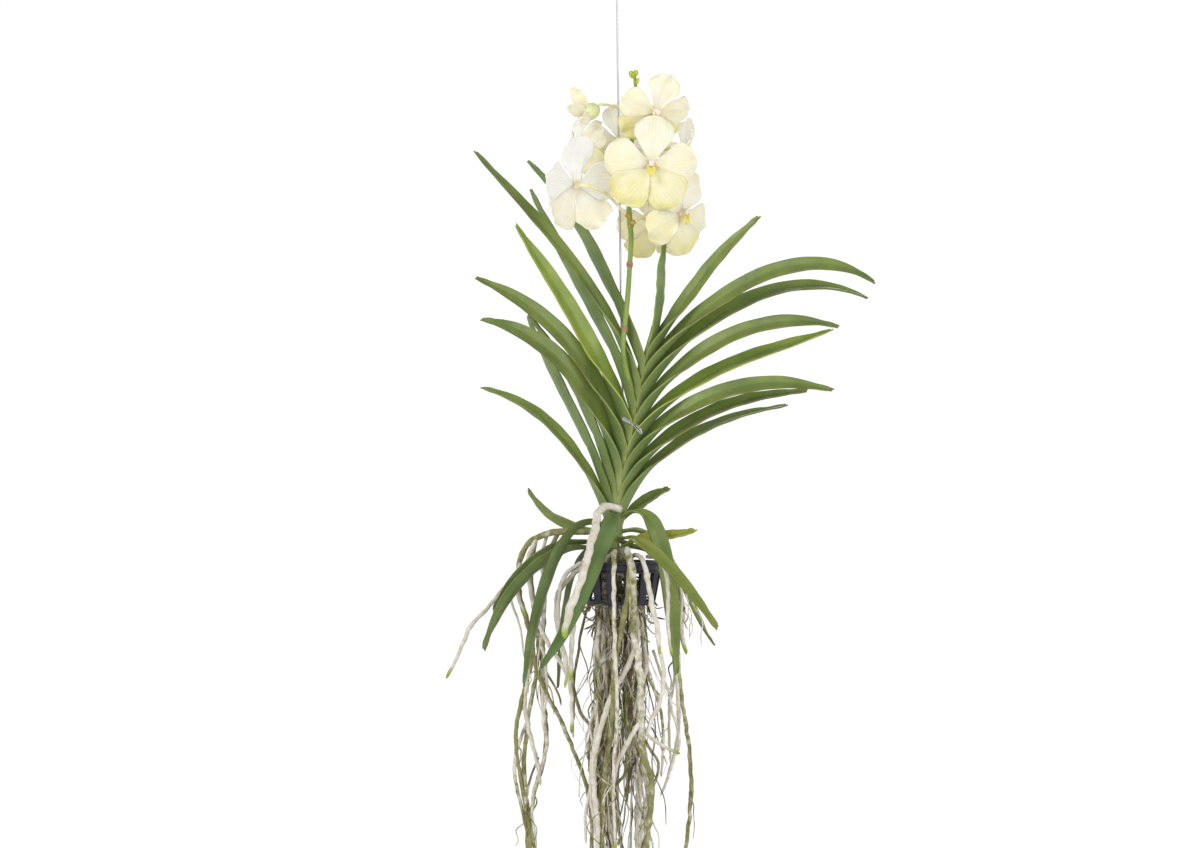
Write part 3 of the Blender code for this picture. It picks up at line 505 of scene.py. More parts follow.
def buildBasket():
    bm = bmesh.new()
    bm.from_mesh(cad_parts["basket"].data)
    bmesh.ops.remove_doubles(bm, verts=bm.verts, dist=0.01 * mm)
    bmesh.ops.dissolve_limit(bm, angle_limit=radians(1.5), verts=bm.verts, edges=bm.edges)
    obj = meshPiece("netBasket", bm, "basketPlastic")
    roundEdges(obj, "rounded", basket["edge"], basket["sharp"])
    obj.modifiers.new("normals", "WEIGHTED_NORMAL").keep_sharp = True
    return obj


showPiece(buildBasket(), "basket_plastic", "basket")
print("basket made")


# right and drop along the stem, its radii, and how far apart its sheaths are
stem = {
    "line": (
        (0, 640.9), (-1, 622), (-3, 600), (-3, 570), (0, 543), (4, 515), (11, 488), (17, 462), (22, 436),
        (27, 408), (32, 383), (35, 366),
    ),
    "low": 6.2,
    "high": 3.2,
    "sheathEvery": 17,
    "widens": (400, 150),
    "tip": 366,
    "tipLong": 26,
    "tipShare": 0.25,
    "greenAbove": 470,
    "rings": 220,
    "sides": 28,
}


def stemPoint(drop):
    line = stem["line"][::-1]
    for (x0, d0), (x1, d1) in zip(line, line[1:]):
        if drop <= d1 or (x1, d1) == line[-1]:
            return at(mix(x0, x1, (drop - d0) / (d1 - d0)), 0, drop)


def stemRadius(drop):
    start, reach = stem["widens"]
    return mix(stem["high"], stem["low"], smooth((drop - start) / reach))


# old leaf sheaths leave a torn, stepped edge on the stem at each node
def buildStem():
    bm = bmesh.new()
    rings = []
    for place in along([at(right, 0, drop) for right, drop in stem["line"]], stem["rings"]):
        drop = -place.z / mm
        step = (drop % stem["sheathEvery"]) / stem["sheathEvery"]
        pointed = mix(stem["tipShare"], 1, smooth((drop - stem["tip"]) / stem["tipLong"]))
        radius = stemRadius(drop) * pointed * mm

        def swollen(turn, way):
            torn = noise(way * 2 + Vector((0, 0, drop / 9)))
            return radius * (0.92 + 0.07 * smooth((1 - step + 0.25 * torn) * 1.1) + 0.03 * torn)

        rings.append(ringAt(bm, place, up, heading(0), stem["sides"], swollen))
    for face in ringsToTube(bm, rings):
        face.material_index = int(-face.calc_center_median().z < stem["greenAbove"] * mm)
    return closedPiece("stem", bm, "stemSheath", "spikeGreen")


showPiece(buildStem(), "stem_green", "stem")
print("stem made")


# side (1 right, -1 left), node's drop, rise, tip, slope at the tip, half width, turn, finish
fan = {
    "sheathFold": 48,
    "bladeFold": 19,
    "sheathLow": 18,
    "sheathRise": 3,
    "sheathGap": 0.7,
    "sheathShare": 0.6,
    "sheathOpen": 0.14,
    "thick": 1.7,
    "tipHalf": 2,
    "leaves": {
        "leaf_left_1": (-1, 386, 66, (-91, 12, 200), 46, 11, -34, "leafTop"),
        "leaf_left_2": (-1, 408, 70, (-142, -42, 195), 47, 10, 38, "leafTop"),
        "leaf_left_3": (-1, 430, 73, (-88, 34, 227), 66, 9.5, -40, "leafTop"),
        "leaf_left_4": (-1, 452, 69, (-102, -36, 267), 56, 13, 46, "leafBright"),
        "leaf_left_5": (-1, 473, 75, (-141, -50, 320), 20, 12, 48, "leafTop"),
        "leaf_left_6": (-1, 493, 78, (-135, -60, 361), 8, 13, 44, "leafTop"),
        "leaf_left_7": (-1, 511, 74, (-90, 20, 356), 52, 10, -30, "leafDark"),
        "leaf_left_8": (-1, 527, 72, (-93, 74, 354), 62, 9, -34, "leafDark"),
        "leaf_left_9": (-1, 543, 70, (-137, -12, 428), 14, 10, 34, "leafTop"),
        "leaf_right_1": (1, 358, 74, (49, 12, 281), 74, 8, -36, "leafBright"),
        "leaf_right_2": (1, 380, 58, (143, -6, 257), 42, 10.5, 44, "leafTop"),
        "leaf_right_3": (1, 400, 56, (256, -34, 324), -36, 11.5, 46, "leafTop"),
        "leaf_right_4": (1, 422, 60, (253, 22, 338), -26, 12, 42, "leafTop"),
        "leaf_right_5": (1, 445, 60, (221, -28, 368), -16, 11.5, 44, "leafTop"),
        "leaf_right_6": (1, 468, 58, (218, 30, 369), 20, 12, 42, "leafBright"),
        "leaf_right_7": (1, 490, 60, (215, -26, 431), -16, 11.5, 46, "leafTop"),
        "leaf_right_8": (1, 512, 60, (193, 14, 431), 4, 11, 40, "leafTop"),
        "leaf_right_9": (1, 532, 64, (174, 44, 445), 10, 10, 36, "leafTop"),
    },
}
# the leaves at the stem's foot: heading of the base from +X, then as above
basal = {
    "fold": 34,
    "share": 0.42,
    "open": 0.3,
    "arm": 20,
    "gap": 0.3,
    "leaves": {
        "leaf_low_1": (128, 566, -16, (-90, 58, 530), 58, 7, 52, "leafTop"),
        "leaf_low_2": (30, 562, 40, (53, 28, 529), 18, 7, 30, "leafTop"),
        "leaf_low_3": (-4, 588, 30, (80, 2, 570), 22, 8, 38, "leafYellow"),
        "leaf_low_4": (-30, 558, 34, (60, -16, 713), -86, 9, 60, "leafTop"),
        "leaf_low_5": (-62, 581, 20, (99, -62, 665), -52, 6.5, 46, "leafOlive"),
        "leaf_low_6": (36, 574, 18, (99, 44, 687), -50, 10, 40, "leafTop"),
        "leaf_low_7": (-90, 558, 22, (-76, -58, 704), -44, 9.5, -62, "leafDark"),
        "leaf_low_8": (215, 570, 34, (-93, -38, 722), -80, 11, 52, "leafDark"),
        "leaf_low_9": (172, 588, 22, (-125, 13, 652), -62, 8, 40, "leafTop"),
        "leaf_low_10": (186, 595, 28, (-134, 0, 690), -76, 8, 44, "leafTop"),
        "leaf_low_11": (136, 592, 24, (-60, 54, 731), -86, 8, -30, "leafDark"),
        "leaf_low_12": (100, 578, 30, (-14, 92, 676), -74, 9, 20, "leafDark"),
    },
}
leafGrid = {
    "across": 10,
    "along": 64,
    "ripple": 0.5,
    "wave": 1.1,
    "sheathRows": 12,
    "sheathLong": 27,
    "wrap": 118,
    "clasp": 0.94,
    "stout": 1.28,
    "slim": 0.88,
    "bluntTip": 3.4,
}


# where the leaf's middle line runs: its point, its direction and the way its upper face looks
def leafFrames(start, way, rise, tip, fall, count):
    reach = (tip - start).length
    out = Vector((tip.x - start.x, tip.y - start.y, 0)).normalized()
    leaves, lands = around(radians(rise), way, up), around(radians(fall), out, up)
    a, b, c, d = start, start + leaves * reach * 0.38, tip - lands * reach * 0.36, tip
    frames, face = [], up
    for i in range(count + 1):
        t = i / count
        point = a * (1 - t)**3 + b * 3 * t * (1 - t)**2 + c * 3 * t * t * (1 - t) + d * t**3
        run = ((b - a) * (1 - t)**2 + (c - b) * 2 * t * (1 - t) + (d - c) * t * t).normalized()
        face = (face - run * face.dot(run)).normalized()
        if i == 0 and face.dot(way) > 0:
            face = -face
        frames.append((point, run, face))
    return frames


# a point of a leaf: as packed where there's no seed, else with a rolled keel, a wavy rim and a notched tip
def leafPoint(frames, across, share, half, turn, folds, base, seed=None):
    baseShare, opened, arm = base
    point, run, top = frames[round(share * (len(frames) - 1))]
    top = Matrix.Rotation(radians(turn) * smooth(share / 0.45), 3, run) @ top
    side = run.cross(top)
    fold = radians(mix(*folds, smooth(share / 0.4)))
    stout, taper, tipHalf = 1, 2.4, fan["tipHalf"]
    if seed is not None:
        if arm != basal["arm"]:
            baseShare = max(baseShare, leafGrid["clasp"])
            stout = mix(leafGrid["stout"], leafGrid["slim"], smooth(share / 0.5))
        arm, taper, tipHalf = arm + 3, 3.1, leafGrid["bluntTip"]
    wide = half * stout * mix(baseShare, 1, smooth(share / opened))
    wide *= 1 - max(0.0, (share - 0.42) / 0.58)**taper
    wide = max(min(wide, arm + 60 * share), tipHalf) * mm
    if seed is None:
        return point + side * across * wide * cos(fold) + top * abs(across) * wide * sin(fold)
    keel = sqrt(across * across + 0.02) - 0.14
    wave = noise(Vector((share * 7, seed * 3.1, across)))
    ripple = sin(share * 46 + seed + across * 2) * leafGrid["ripple"] * abs(across)**3
    lift = (wave * leafGrid["wave"] * smooth(share / 0.3) + ripple * 0.4) * mm
    notch = smooth((share - 0.965) / 0.035) * (0.9 * (1 - abs(across)) + 1.4 * across * cos(seed)) * mm
    rounded = 1 - 0.55 * smooth((share - 0.94) / 0.06)**2
    point = point + side * across * wide * rounded * cos(fold) - run * notch
    return point + top * (keel * wide * sin(fold) + lift)


# the leaf's base carried on down the stem as a sheath that wraps it and thins out at its node
def sheathRows(first, way, low, side):
    rows = []
    for j in range(leafGrid["sheathRows"], 0, -1):
        share = j / leafGrid["sheathRows"]
        drop = low + leafGrid["sheathLong"] * share
        shift = stemPoint(drop) - stemPoint(low)
        hug = (stemRadius(drop) + mix(1.3, 0.5, share)) * mm
        turns = tapered(-leafGrid["wrap"], leafGrid["wrap"], len(first))
        wrapped = [stemPoint(drop) + around(radians(turn), way, side) * hug for turn in turns]
        rows.append([(a + shift).lerp(b, smooth(share / 0.75)) for a, b in zip(first, wrapped)])
    return rows


def buildLeaf(name, start, way, numbers, folds, base, seed, low=None):
    rise, tip, fall, half, turn, finish = numbers
    shape = (half, turn, folds, base)
    coarse = leafFrames(start, way, rise, at(*tip), fall, 10)
    spread = [leafPoint(coarse, across, i / 10, *shape) for across in (-1, 0, 1) for i in range(11)]
    slid = slidBy(name, spread, -way)
    rows, columns = leafGrid["along"], leafGrid["across"]
    frames = leafFrames(start, way, rise, at(*tip), fall, rows)
    grid = []
    for j in range(rows + 1):
        places = [leafPoint(frames, across, j / rows, *shape, seed) for across in tapered(-1, 1, columns + 1)]
        grid.append([place + slid for place in places])
    below = sheathRows(grid[0], way, low, frames[0][1].cross(frames[0][2])) if low else []
    bm = bmesh.new()
    grid = [[bm.verts.new(place) for place in row] for row in below + grid]
    weave(bm, grid, len(below))
    bmesh.ops.recalc_face_normals(bm, faces=bm.faces)
    middle = frames[rows // 2]
    facing = Matrix.Rotation(radians(turn), 3, middle[1]) @ middle[2]
    if grid[len(below) + rows // 2][columns // 2].link_faces[0].normal.dot(facing) < 0:
        bmesh.ops.reverse_faces(bm, faces=bm.faces)
    obj = meshPiece(name.replace("_", ""), bm, finish, "leafUnder")
    body = thicken(obj, fan["thick"])
    body.material_offset = 1
    body.material_offset_rim = 0
    roundEdges(obj, "soft", 0.4, 50)
    return obj


def buildFanLeaf(name, side, drop, rise, tip, fall, half, turn, finish):
    way = Vector((side, 0, 0))
    low = drop + fan["sheathLow"]
    fold = radians(fan["sheathFold"])
    clear = (stemRadius(low) + fan["sheathGap"] + fan["thick"] / 2) / cos(fold)
    numbers = (rise + fan["sheathRise"], tip, fall, half, turn * side, finish)
    base = (fan["sheathShare"], fan["sheathOpen"], (clear - 1) / sin(fold))
    folds = (fan["sheathFold"], fan["bladeFold"])
    return buildLeaf(name, stemPoint(low) + way * clear * mm, way, numbers, folds, base, drop * 0.37, low)


def buildBasalLeaf(name, head, drop, *numbers):
    way = heading(head)
    start = stemPoint(drop) + way * (stemRadius(drop) + basal["gap"] + fan["thick"]) * mm
    folds, base = (basal["fold"], fan["bladeFold"]), (basal["share"], basal["open"], basal["arm"])
    return buildLeaf(name, start, way, numbers, folds, base, drop * 0.61 + head)


for name, numbers in fan["leaves"].items():
    showPiece(buildFanLeaf(name, *numbers), "leaf_green", name)
for name, numbers in basal["leaves"].items():
    old = numbers[-1] in ("leafYellow", "leafOlive")
    showPiece(buildBasalLeaf(name, *numbers), "leaf_yellow" if old else "leaf_green", name)
print("leaves made")


# right, behind, drop and radius along the stalk; half width and half length of what sits on it
spike = {
    "line": (
        (18.5, -6.9, 444, 3.0), (13, -11.5, 424, 3.0), (8, -13, 405, 2.9), (6, -14, 385, 2.7),
        (8.5, -13.5, 359, 2.7), (11, -12.5, 332, 2.7), (12.6, -11.5, 306, 2.6), (14, -10, 279, 2.6),
        (12, -8, 250, 2.6), (13, -6, 215, 2.4), (15, -5, 178, 2.2), (20.5, -4, 142, 1.9),
        (18.5, -4, 126, 1.8), (17.5, -4, 117, 1.6),
    ),
    "buds": ((15, -5, 115, 3.0, 4.0), (18.8, -3.6, 113.4, 2.6, 3.4), (20.4, -4.6, 121.5, 1.8, 3.6)),
    "collars": (305, 369),
    "collar": (3.4, 4.5),
    "bract": (2.7, 4.76),
    "bractLong": 3.4,
    "bractOut": 1.5,
    "bractLow": 1.2,
    "tuck": 8,
    "rings": 240,
    "sides": 18,
}
# centre, turn right of the viewer, tip up, lean, tepal length, drop on the stalk, warmth of its lower tepals
blooms = {
    "flower_1": ((33, -52, 209), 4, -6, 4, 49, 238, 0.95),
    "flower_2": ((38, -34, 155), 20, -30, 8, 40, 176, 0.8),
    "flower_3": ((64, -16, 254), 42, -8, 22, 45, 262, 0.6),
    "flower_4": ((-40, -46, 229), -140, 4, 2, 49, 256, 0.07),
    "flower_5": ((-36, 8, 184), -62, 4, -10, 39, 212, 0.5),
    "flower_6": ((4, 46, 178), 176, 8, 4, 39, 196, 0.15),
    "flower_7": ((62, 26, 194), 108, -26, 8, 42, 224, 0.2),
    "flower_8": ((37, 45, 260.5), 152, -10, 12, 40, 266, 0.7),
}
# heading round the flower, share of length, width, dish, sweep back, how much of the warmth it takes
tepals = (
    (88, 1.0, 0.80, 0.16, 0.10, 0.12),
    (8, 0.95, 0.80, 0.10, 0.16, 0.25),
    (170, 0.95, 0.80, 0.12, 0.14, 0.3),
    (-52, 0.98, 0.86, 0.19, 0.11, 1.0),
    (-127, 0.98, 0.86, 0.17, 0.13, 1.0),
)
bloomGrid = {"across": 26, "along": 30, "thick": 0.8, "ruffle": 1.5}


def spikePoint(drop):
    for (x0, y0, d0, _), (x1, y1, d1, _) in zip(spike["line"], spike["line"][1:]):
        if d1 <= drop <= d0:
            share = (d0 - drop) / (d0 - d1)
            return at(mix(x0, x1, share), mix(y0, y1, share), drop)


def flowerFrame(turn, tip, lean):
    a, b, c = map(radians, (turn, tip, lean))
    facing = Vector((sin(a) * cos(b), -cos(a) * cos(b), sin(b)))
    right = up.cross(facing).normalized()
    high = facing.cross(right)
    return around(c, right, -high), around(c, high, right), facing


def lobed(lobes, deep, phase=0):
    return lambda turn: 1 + deep * cos(lobes * turn - phase)


# an egg along axis, whose shape says how its girth changes round it
def addEgg(bm, middle, axis, wide, half, count, sides, shape, material=0):
    axis = axis.normalized()
    side = axis.orthogonal().normalized()
    rings = []
    for t in tapered(0.02, 0.98, count + 1):
        centre = middle - axis * cos(pi * t) * half * mm
        radius = wide * sin(pi * t)**0.85 * mm
        rings.append(ringAt(bm, centre, axis, side, sides, lambda turn, way: radius * shape(turn)))
    for face in ringsToTube(bm, rings):
        face.material_index = material


def buildSpike():
    bm = bmesh.new()
    route = laid(spike["line"], spike["rings"])
    drops = [drop for *_, drop, _ in blooms.values()]
    rings = []
    for i, p in enumerate(route):
        drop = -p.z / mm
        place = p.to_3d() + Vector((0, spike["tuck"] * smooth((drop - 392) / 34), 0)) * mm
        run = runAt(route, i)
        side = run.cross(Vector((0, 1, 0))).normalized()
        radius = p.w * 0.97 * (1 + 0.12 * sum(exp(-((drop - d) / 3.2)**2) for d in drops))
        ribbed = lambda turn, way: radius * (1 + 0.025 * cos(6 * turn + drop * 0.03))
        rings.append(ringAt(bm, place, run, side, spike["sides"], ribbed))
    ringsToTube(bm, rings)
    for drop in spike["collars"]:
        addEgg(bm, spikePoint(drop), up, *spike["collar"], 14, 20, lobed(1, 0.06, 1), 1)
    for centre, *_, drop, _ in blooms.values():
        point = spikePoint(drop)
        out = (at(*centre) - point).normalized()
        middle = point + (out * spike["bractOut"] - up * spike["bractLow"]) * mm
        addEgg(bm, middle, out, *spike["bract"], 12, 16, lobed(2, 0.16), 2)
    for right, behind, drop, wide, long in spike["buds"]:
        axis = Vector((right - 18, behind + 4, 6))
        addEgg(bm, at(right, behind, drop), axis, wide, long, 16, 24, lobed(3, 0.05), 3)
    return closedPiece("flowerSpike", bm, "spikeGreen", "collarPink", "bractOrange", "budGreen")


showPiece(buildSpike(), "spike_green", "flower_spike")
print("flower stalk made")


def tepalPoint(centre, frameOf, long, tepal, wave, across, share):
    head, length, wide, dish, sweep, _ = tepal
    right, high, facing = frameOf
    out = around(radians(head), right, high)
    side = facing.cross(out)
    s = 1 - (1 - share)**1.25
    swell = mix(0.2, 1, smooth(s / 0.66)) * (1 - 0.26 * max(0.0, (s - 0.76) / 0.24)**2)
    swell *= 1 + 0.018 * sin(11 * s + wave * 3) + 0.012 * sin(23 * s + wave)
    half = 0.5 * wide * long * swell
    forward = long * (dish * s - (dish + sweep) * s**2.2 + 0.08 * across**2 * s * cos(pi * s))
    forward += long * 0.05 * s**2 * across * sin(wave + 5 * s)
    rounding = (0.13 + 0.015 * sin(9 * across + wave)) * across**2 * s * s
    reach = long * length * (0.03 + 0.97 * s * (1 - rounding))
    # the rim ruffles and the blade is never quite flat
    rim = smooth((max(abs(across), s) - 0.55) / 0.45)
    forward += bloomGrid["ruffle"] * rim * sin(7 * across * s + wave * 2 + 4 * s)
    forward += 1.1 * noise(Vector((across * 1.6, s * 2.2, wave))) * smooth(s * 3)
    forward -= 0.5 * exp(-(across * 9)**2) * smooth(s * 2)
    return centre + (out * reach + side * across * half + facing * forward) * mm


# a sheet of corners over the blade, painted with its warmth and depth where both are given
def sheet(bm, columns, rows, pointOf, paintOf=None):
    paint = paintOf and bm.verts.layers.float_color["warmth"]
    grid = []
    for share in tapered(0, 1, rows + 1):
        grid.append([])
        for across in tapered(-1, 1, columns + 1):
            grid[-1].append(bm.verts.new(pointOf(across, share)))
            if paintOf:
                grid[-1][-1][paint] = (*paintOf(across, share), 0, 1)
    weave(bm, grid)


def buildTepals(name, centre, frameOf, long, number, warmth):
    bm = bmesh.new()
    bm.verts.layers.float_color.new("warmth")
    for order, tepal in enumerate(tepals):
        wave = 1.7 * number + 2.1 * order

        def warmed(across, share):
            patch = 0.75 + 0.5 * noise(Vector((across * 1.3, share * 2, wave + 5)))
            rim = 0.55 + 0.45 * smooth((share - 0.2) / 0.6)
            return warmth * tepal[5] * patch * rim, smooth((0.25 - share) / 0.25)

        def placed(across, share):
            return tepalPoint(centre, frameOf, long, tepal, wave, across, share)

        sheet(bm, bloomGrid["across"], bloomGrid["along"], placed, warmed)
    obj = meshPiece(name, bm, "tepalCream")
    thicken(obj, bloomGrid["thick"])
    return obj


# column, anther cap and dark stigma: forward, up, tilt, wide, half long, rings, sides, lobes, material
columnParts = (
    (1.5, 0.0, 0.0, 3.9, 5.4, 14, 24, lobed(2, 0.08), 0),
    (5.6, 1.8, 0.5, 3.4, 2.8, 12, 18, lobed(2, 0.1), 0),
    (6.5, -2.0, 0.0, 1.9, 1.1, 8, 14, lobed(1, 0.0), 1),
)


def buildColumn(name, centre, frameOf):
    bm = bmesh.new()
    high, facing = frameOf[1:]
    for forward, raised, tilt, *numbers in columnParts:
        addEgg(bm, centre + (facing * forward + high * raised) * mm, facing + high * tilt, *numbers)
    return closedPiece(name, bm, "columnWhite", "throatRed")


# a flower's own stalk, which has low ribs that twist along it
pedicel = {"radii": (1.4, 1.4, 1.5, 1.6, 1.8, 2.1, 2.4), "ribs": 6, "twist": 5.6, "sides": 18, "rings": 60}


def stalkRoute(middle, facing, drop):
    root = spikePoint(drop)
    out = (middle - root).normalized()
    start = root + (out * (spike["bractOut"] + spike["bractLong"] + 0.3) - up * spike["bractLow"]) * mm
    reach = (middle - start).length
    return along([start, start + (out + up * 0.4) * reach * 0.35, middle - facing * reach * 0.3, middle], 7)


def buildPedicel(name, route, radii):
    bm = bmesh.new()
    fine = sized(route, radii, pedicel["rings"])
    rings = []
    for i, p in enumerate(fine):
        run = runAt(fine, i)
        side = run.cross(Vector((0.2, 0.3, 1))).normalized()
        wound = pedicel["twist"] * i / len(fine)
        ribbed = lambda turn, way: p.w * (1 + 0.08 * cos(pedicel["ribs"] * turn + wound))
        rings.append(ringAt(bm, p.to_3d(), run, side, pedicel["sides"], ribbed))
    ringsToTube(bm, rings)
    return closedPiece(name, bm, "pedicelCream")


lips = {"long": 13, "wide": 9, "thick": 1.4, "rows": 24, "columns": 18, "forward": 7.2, "low": 2.2}


# packed as a spoon; here with side lobes, a keel and a split end
def lipPoint(base, frameOf, across, share, fine):
    right, high, facing = frameOf
    half = 0.5 * lips["wide"] * (0.55 + 0.45 * cos(pi * (share - 0.35) * 1.3))
    out = facing * (lips["long"] * 0.62 * share) - high * (lips["long"] * 0.75 * share**1.6)
    raised = high * (2.6 * across**2 * (1 - share))
    if fine:
        out *= 0.86
        half = 0.44 * lips["wide"] * (0.6 + 0.4 * cos(pi * (share - 0.42) * 0.95))
        half *= sqrt(1 - 0.75 * max(0.0, (share - 0.72) / 0.28)**2)
        lobe = exp(-((share - 0.12) / 0.13)**2) * abs(across)**3
        raised += high * 2.6 * lobe + facing * 0.5 * lobe
        raised += high * 0.6 * exp(-(across * 5)**2) * sin(pi * share)
        out -= facing * 1.1 * smooth((share - 0.85) / 0.15) * (1 - abs(across))
    return base + (out + right * across * half + raised) * mm


def buildLip(name, node, centre, frameOf):
    high, facing = frameOf[1:]
    base = centre + (facing * lips["forward"] - high * lips["low"]) * mm
    coarse = [lipPoint(base, frameOf, across, i / 4, False) for across in (-1, 0, 1) for i in range(5)]
    base = base + slidBy(node, coarse, -facing)
    bm = bmesh.new()
    sheet(bm, lips["columns"], lips["rows"], lambda *place: lipPoint(base, frameOf, *place, True))
    obj = meshPiece(name, bm, "lipYellow")
    thicken(obj, lips["thick"])
    return obj


def buildFlower(node, number, centre, turn, tip, lean, long, drop, warmth):
    name = node.replace("_", "")
    frameOf = flowerFrame(turn, tip, lean)
    middle = at(*centre)
    showPiece(buildTepals(name + "Tepals", middle, frameOf, long, number, warmth), "petal_cream", node)
    showPiece(buildColumn(name + "Column", middle, frameOf), "petal_cream")
    route = stalkRoute(middle, frameOf[2], drop)
    showPiece(buildPedicel(name + "Stalk", route, pedicel["radii"]), "petal_cream")
    showPiece(buildLip(name + "Lip", node + "_lip", middle, frameOf), "lip_yellow", node + "_lip")


for number, (node, numbers) in enumerate(blooms.items()):
    buildFlower(node, number, *numbers)


# a half-open flower: its closed body, and the tip and half width of each tepal that has come loose
nodding = {
    "centre": (-26, -26, 154),
    "axis": (-0.75, -0.1, -0.6),
    "long": 19,
    "wide": 8,
    "drop": 158,
    "edges": (((-45, -24, 130), 7), ((-50, -38, 150), 7), ((-38, -44, 168), 6)),
    "rows": 20,
    "columns": 12,
    "warmth": 0.2,
}


def noddingTepals(middle):
    bm = bmesh.new()
    bm.verts.layers.float_color.new("warmth")
    for order, (tip, half) in enumerate(nodding["edges"]):
        out = at(*tip) - middle
        side = out.cross(Vector((0, 1, 0.5))).normalized()
        inward = out.cross(side)

        def placed(across, share):
            swell = mix(0.5, 1, smooth(share / 0.5)) * (1 - 0.5 * smooth((share - 0.6) / 0.4))
            bend = inward * 0.12 * sin(pi * share)
            curl = (1.2 * across * across + 0.5 * sin(6 * share + order)) * share
            reach = out * mix(0.15, 1 - 0.06 * across * across, share)
            return middle + reach + bend + (side * across * half * swell + inward.normalized() * curl) * mm

        sheet(bm, nodding["columns"], nodding["rows"], placed, lambda across, share: (nodding["warmth"], 0))
    obj = meshPiece("noddingTepals", bm, "tepalCream")
    thicken(obj, bloomGrid["thick"])
    return obj


def buildNodding():
    middle, way = at(*nodding["centre"]), Vector(nodding["axis"]).normalized()
    bm = bmesh.new()
    creased = lambda turn: 0.97 + 0.045 * abs(cos(turn * 1.5))
    addEgg(bm, middle, way, nodding["wide"], nodding["long"] / 2, 30, 42, creased)
    showPiece(closedPiece("noddingBud", bm, "budPale"), "petal_cream", "nodding_bud")
    showPiece(noddingTepals(middle), "petal_cream")
    root = spikePoint(nodding["drop"])
    top = middle - way * nodding["long"] * 0.45 * mm
    start = root + (top - root).normalized() * 2.2 * mm
    route = along([start, start.lerp(top, 0.55) + up * 5 * mm, top + up * 1.5 * mm, top + way * 4 * mm], 7)
    showPiece(buildPedicel("noddingStalk", route, [1.3] * 7), "petal_cream")


buildNodding()
print("flowers made")


# right, behind, drop and radius along each root
roots = {
    "white": ((
        (3, -10.9, 549, 4.2), (-7, -18, 546, 4.3), (-17, -31, 548, 4.3), (-21, -46, 562, 4.2),
        (-28, -65, 590, 4.0), (-34, -74, 615, 3.7), (-44, -78, 637, 4.2), (-49, -80, 655, 4.1),
        (-51, -80, 674, 2.6),
    ),),
    "left": (
        ((-10.5, 2, 571, 3.2), (-37, 8, 572, 3.4), (-57, 17, 574, 3.3), (-80, 29, 575, 3.2),
         (-95, 33, 592, 3.1), (-101, 34, 618, 3.0), (-95, 33, 655, 2.8), (-86, 32, 690, 2.5),
         (-94, 30, 730, 2.2), (-103, 28, 775, 2.1), (-99, 27, 815, 2.1), (-91, 27, 860, 2.0),
         (-88, 25, 905, 1.8), (-92, 24, 950, 1.3)),
        ((-82, 29, 577, 2.6), (-88, 37, 605, 2.5), (-86, 40, 640, 2.4), (-80, 37, 680, 2.3),
         (-84, 34, 725, 2.2), (-92, 32, 770, 2.2), (-95, 30, 820, 2.1), (-90, 28, 858, 2.0),
         (-86, 30, 925, 1.4)),
        ((-61, 19, 575, 2.4), (-72, 38, 600, 2.3), (-74, 44, 640, 2.3), (-76, 42, 690, 2.6),
         (-76, 38, 740, 2.8), (-72, 35, 790, 2.2), (-84, 31, 835, 2.0), (-88, 28, 870, 1.8),
         (-82, 26, 900, 1.3)),
        ((-101, 34, 612, 2.4), (-118, 26, 634, 2.3), (-137, 14, 655, 2.2), (-150, 4, 670, 2.3),
         (-160, -2, 696, 2.1), (-172, -6, 718, 1.5)),
    ),
    "right": (
        ((5, 5, 580, 2.8), (20, 14, 587, 3.0), (38, 15, 591, 3.0), (50, 11, 599, 2.8), (58, 6, 616, 2.5),
         (66, 0, 632, 2.4), (68, -3, 652, 2.7), (67, -4, 672, 2.7), (72, -5, 694, 1.7)),
        ((57, 7, 613, 2.4), (62, 11, 645, 2.3), (64, 11, 685, 2.3), (66, 9, 725, 2.3), (72, 6, 765, 2.2),
         (77, 4, 810, 2.3), (76, 4, 855, 2.2), (71, 4, 895, 2.0), (72, 4, 945, 1.3)),
        ((60, 4, 620, 1.8), (70, -6, 625, 1.7), (78, -10, 638, 1.4), (80, -11, 652, 1.0)),
    ),
    "front": (
        (7, -8.5, 602, 3.2), (8, -24, 591, 3.4), (12, -42, 588.5, 3.6), (15, -52.5, 603, 3.8),
        (17, -51, 640, 3.8), (18, -46, 670, 3.4), (23, -42, 705, 3.8), (25, -38, 745, 3.6),
        (27, -34, 790, 3.4), (36, -31, 826, 3.2), (31, -29, 872, 3.0), (27, -27, 915, 2.6),
        (25, -26, 968, 1.6),
    ),
    "pale": (
        (10, -8.5, 604, 2.4), (22, -32, 592, 2.6), (30, -45, 612, 2.7), (35, -48, 640, 2.7),
        (41, -46, 668, 2.6), (43, -44, 694, 1.5),
    ),
    "points": 11,
    "knotOut": 11.3,
    "margin": 5.4,
    "wireClear": 7,
    "end": 990,
    "sides": 12,
    "fewSides": 6,
    "ringEvery": 3.2,
}
# each third of the basket: heading, roots through it, their aim and swing, headings over the rim, seed
thirds = {
    "roots_front_left": (210, 7, 210, 44, (262,), 3),
    "roots_front_right": (-30, 6, -30, 44, (), 8),
    "roots_back": (90, 7, 116, 22, (108, 88), 21),
}


def basketAxis(drop):
    return at(basket["right"], 0, drop)


def rootMesh(seed):
    bm = bmesh.new()
    return bm, bm.verts.layers.float_color.new("rootTone"), random.Random(seed)


def showRoots(name, bm, slotName="root_olive", *nodes):
    return showPiece(closedPiece(name, bm, "rootSkin"), slotName, *nodes)


def anyWay(rng):
    return heading(rng.uniform(0, 360))


def stray(rng, far):
    return Vector((rng.uniform(-far, far), rng.uniform(-far, far), 0)) * mm


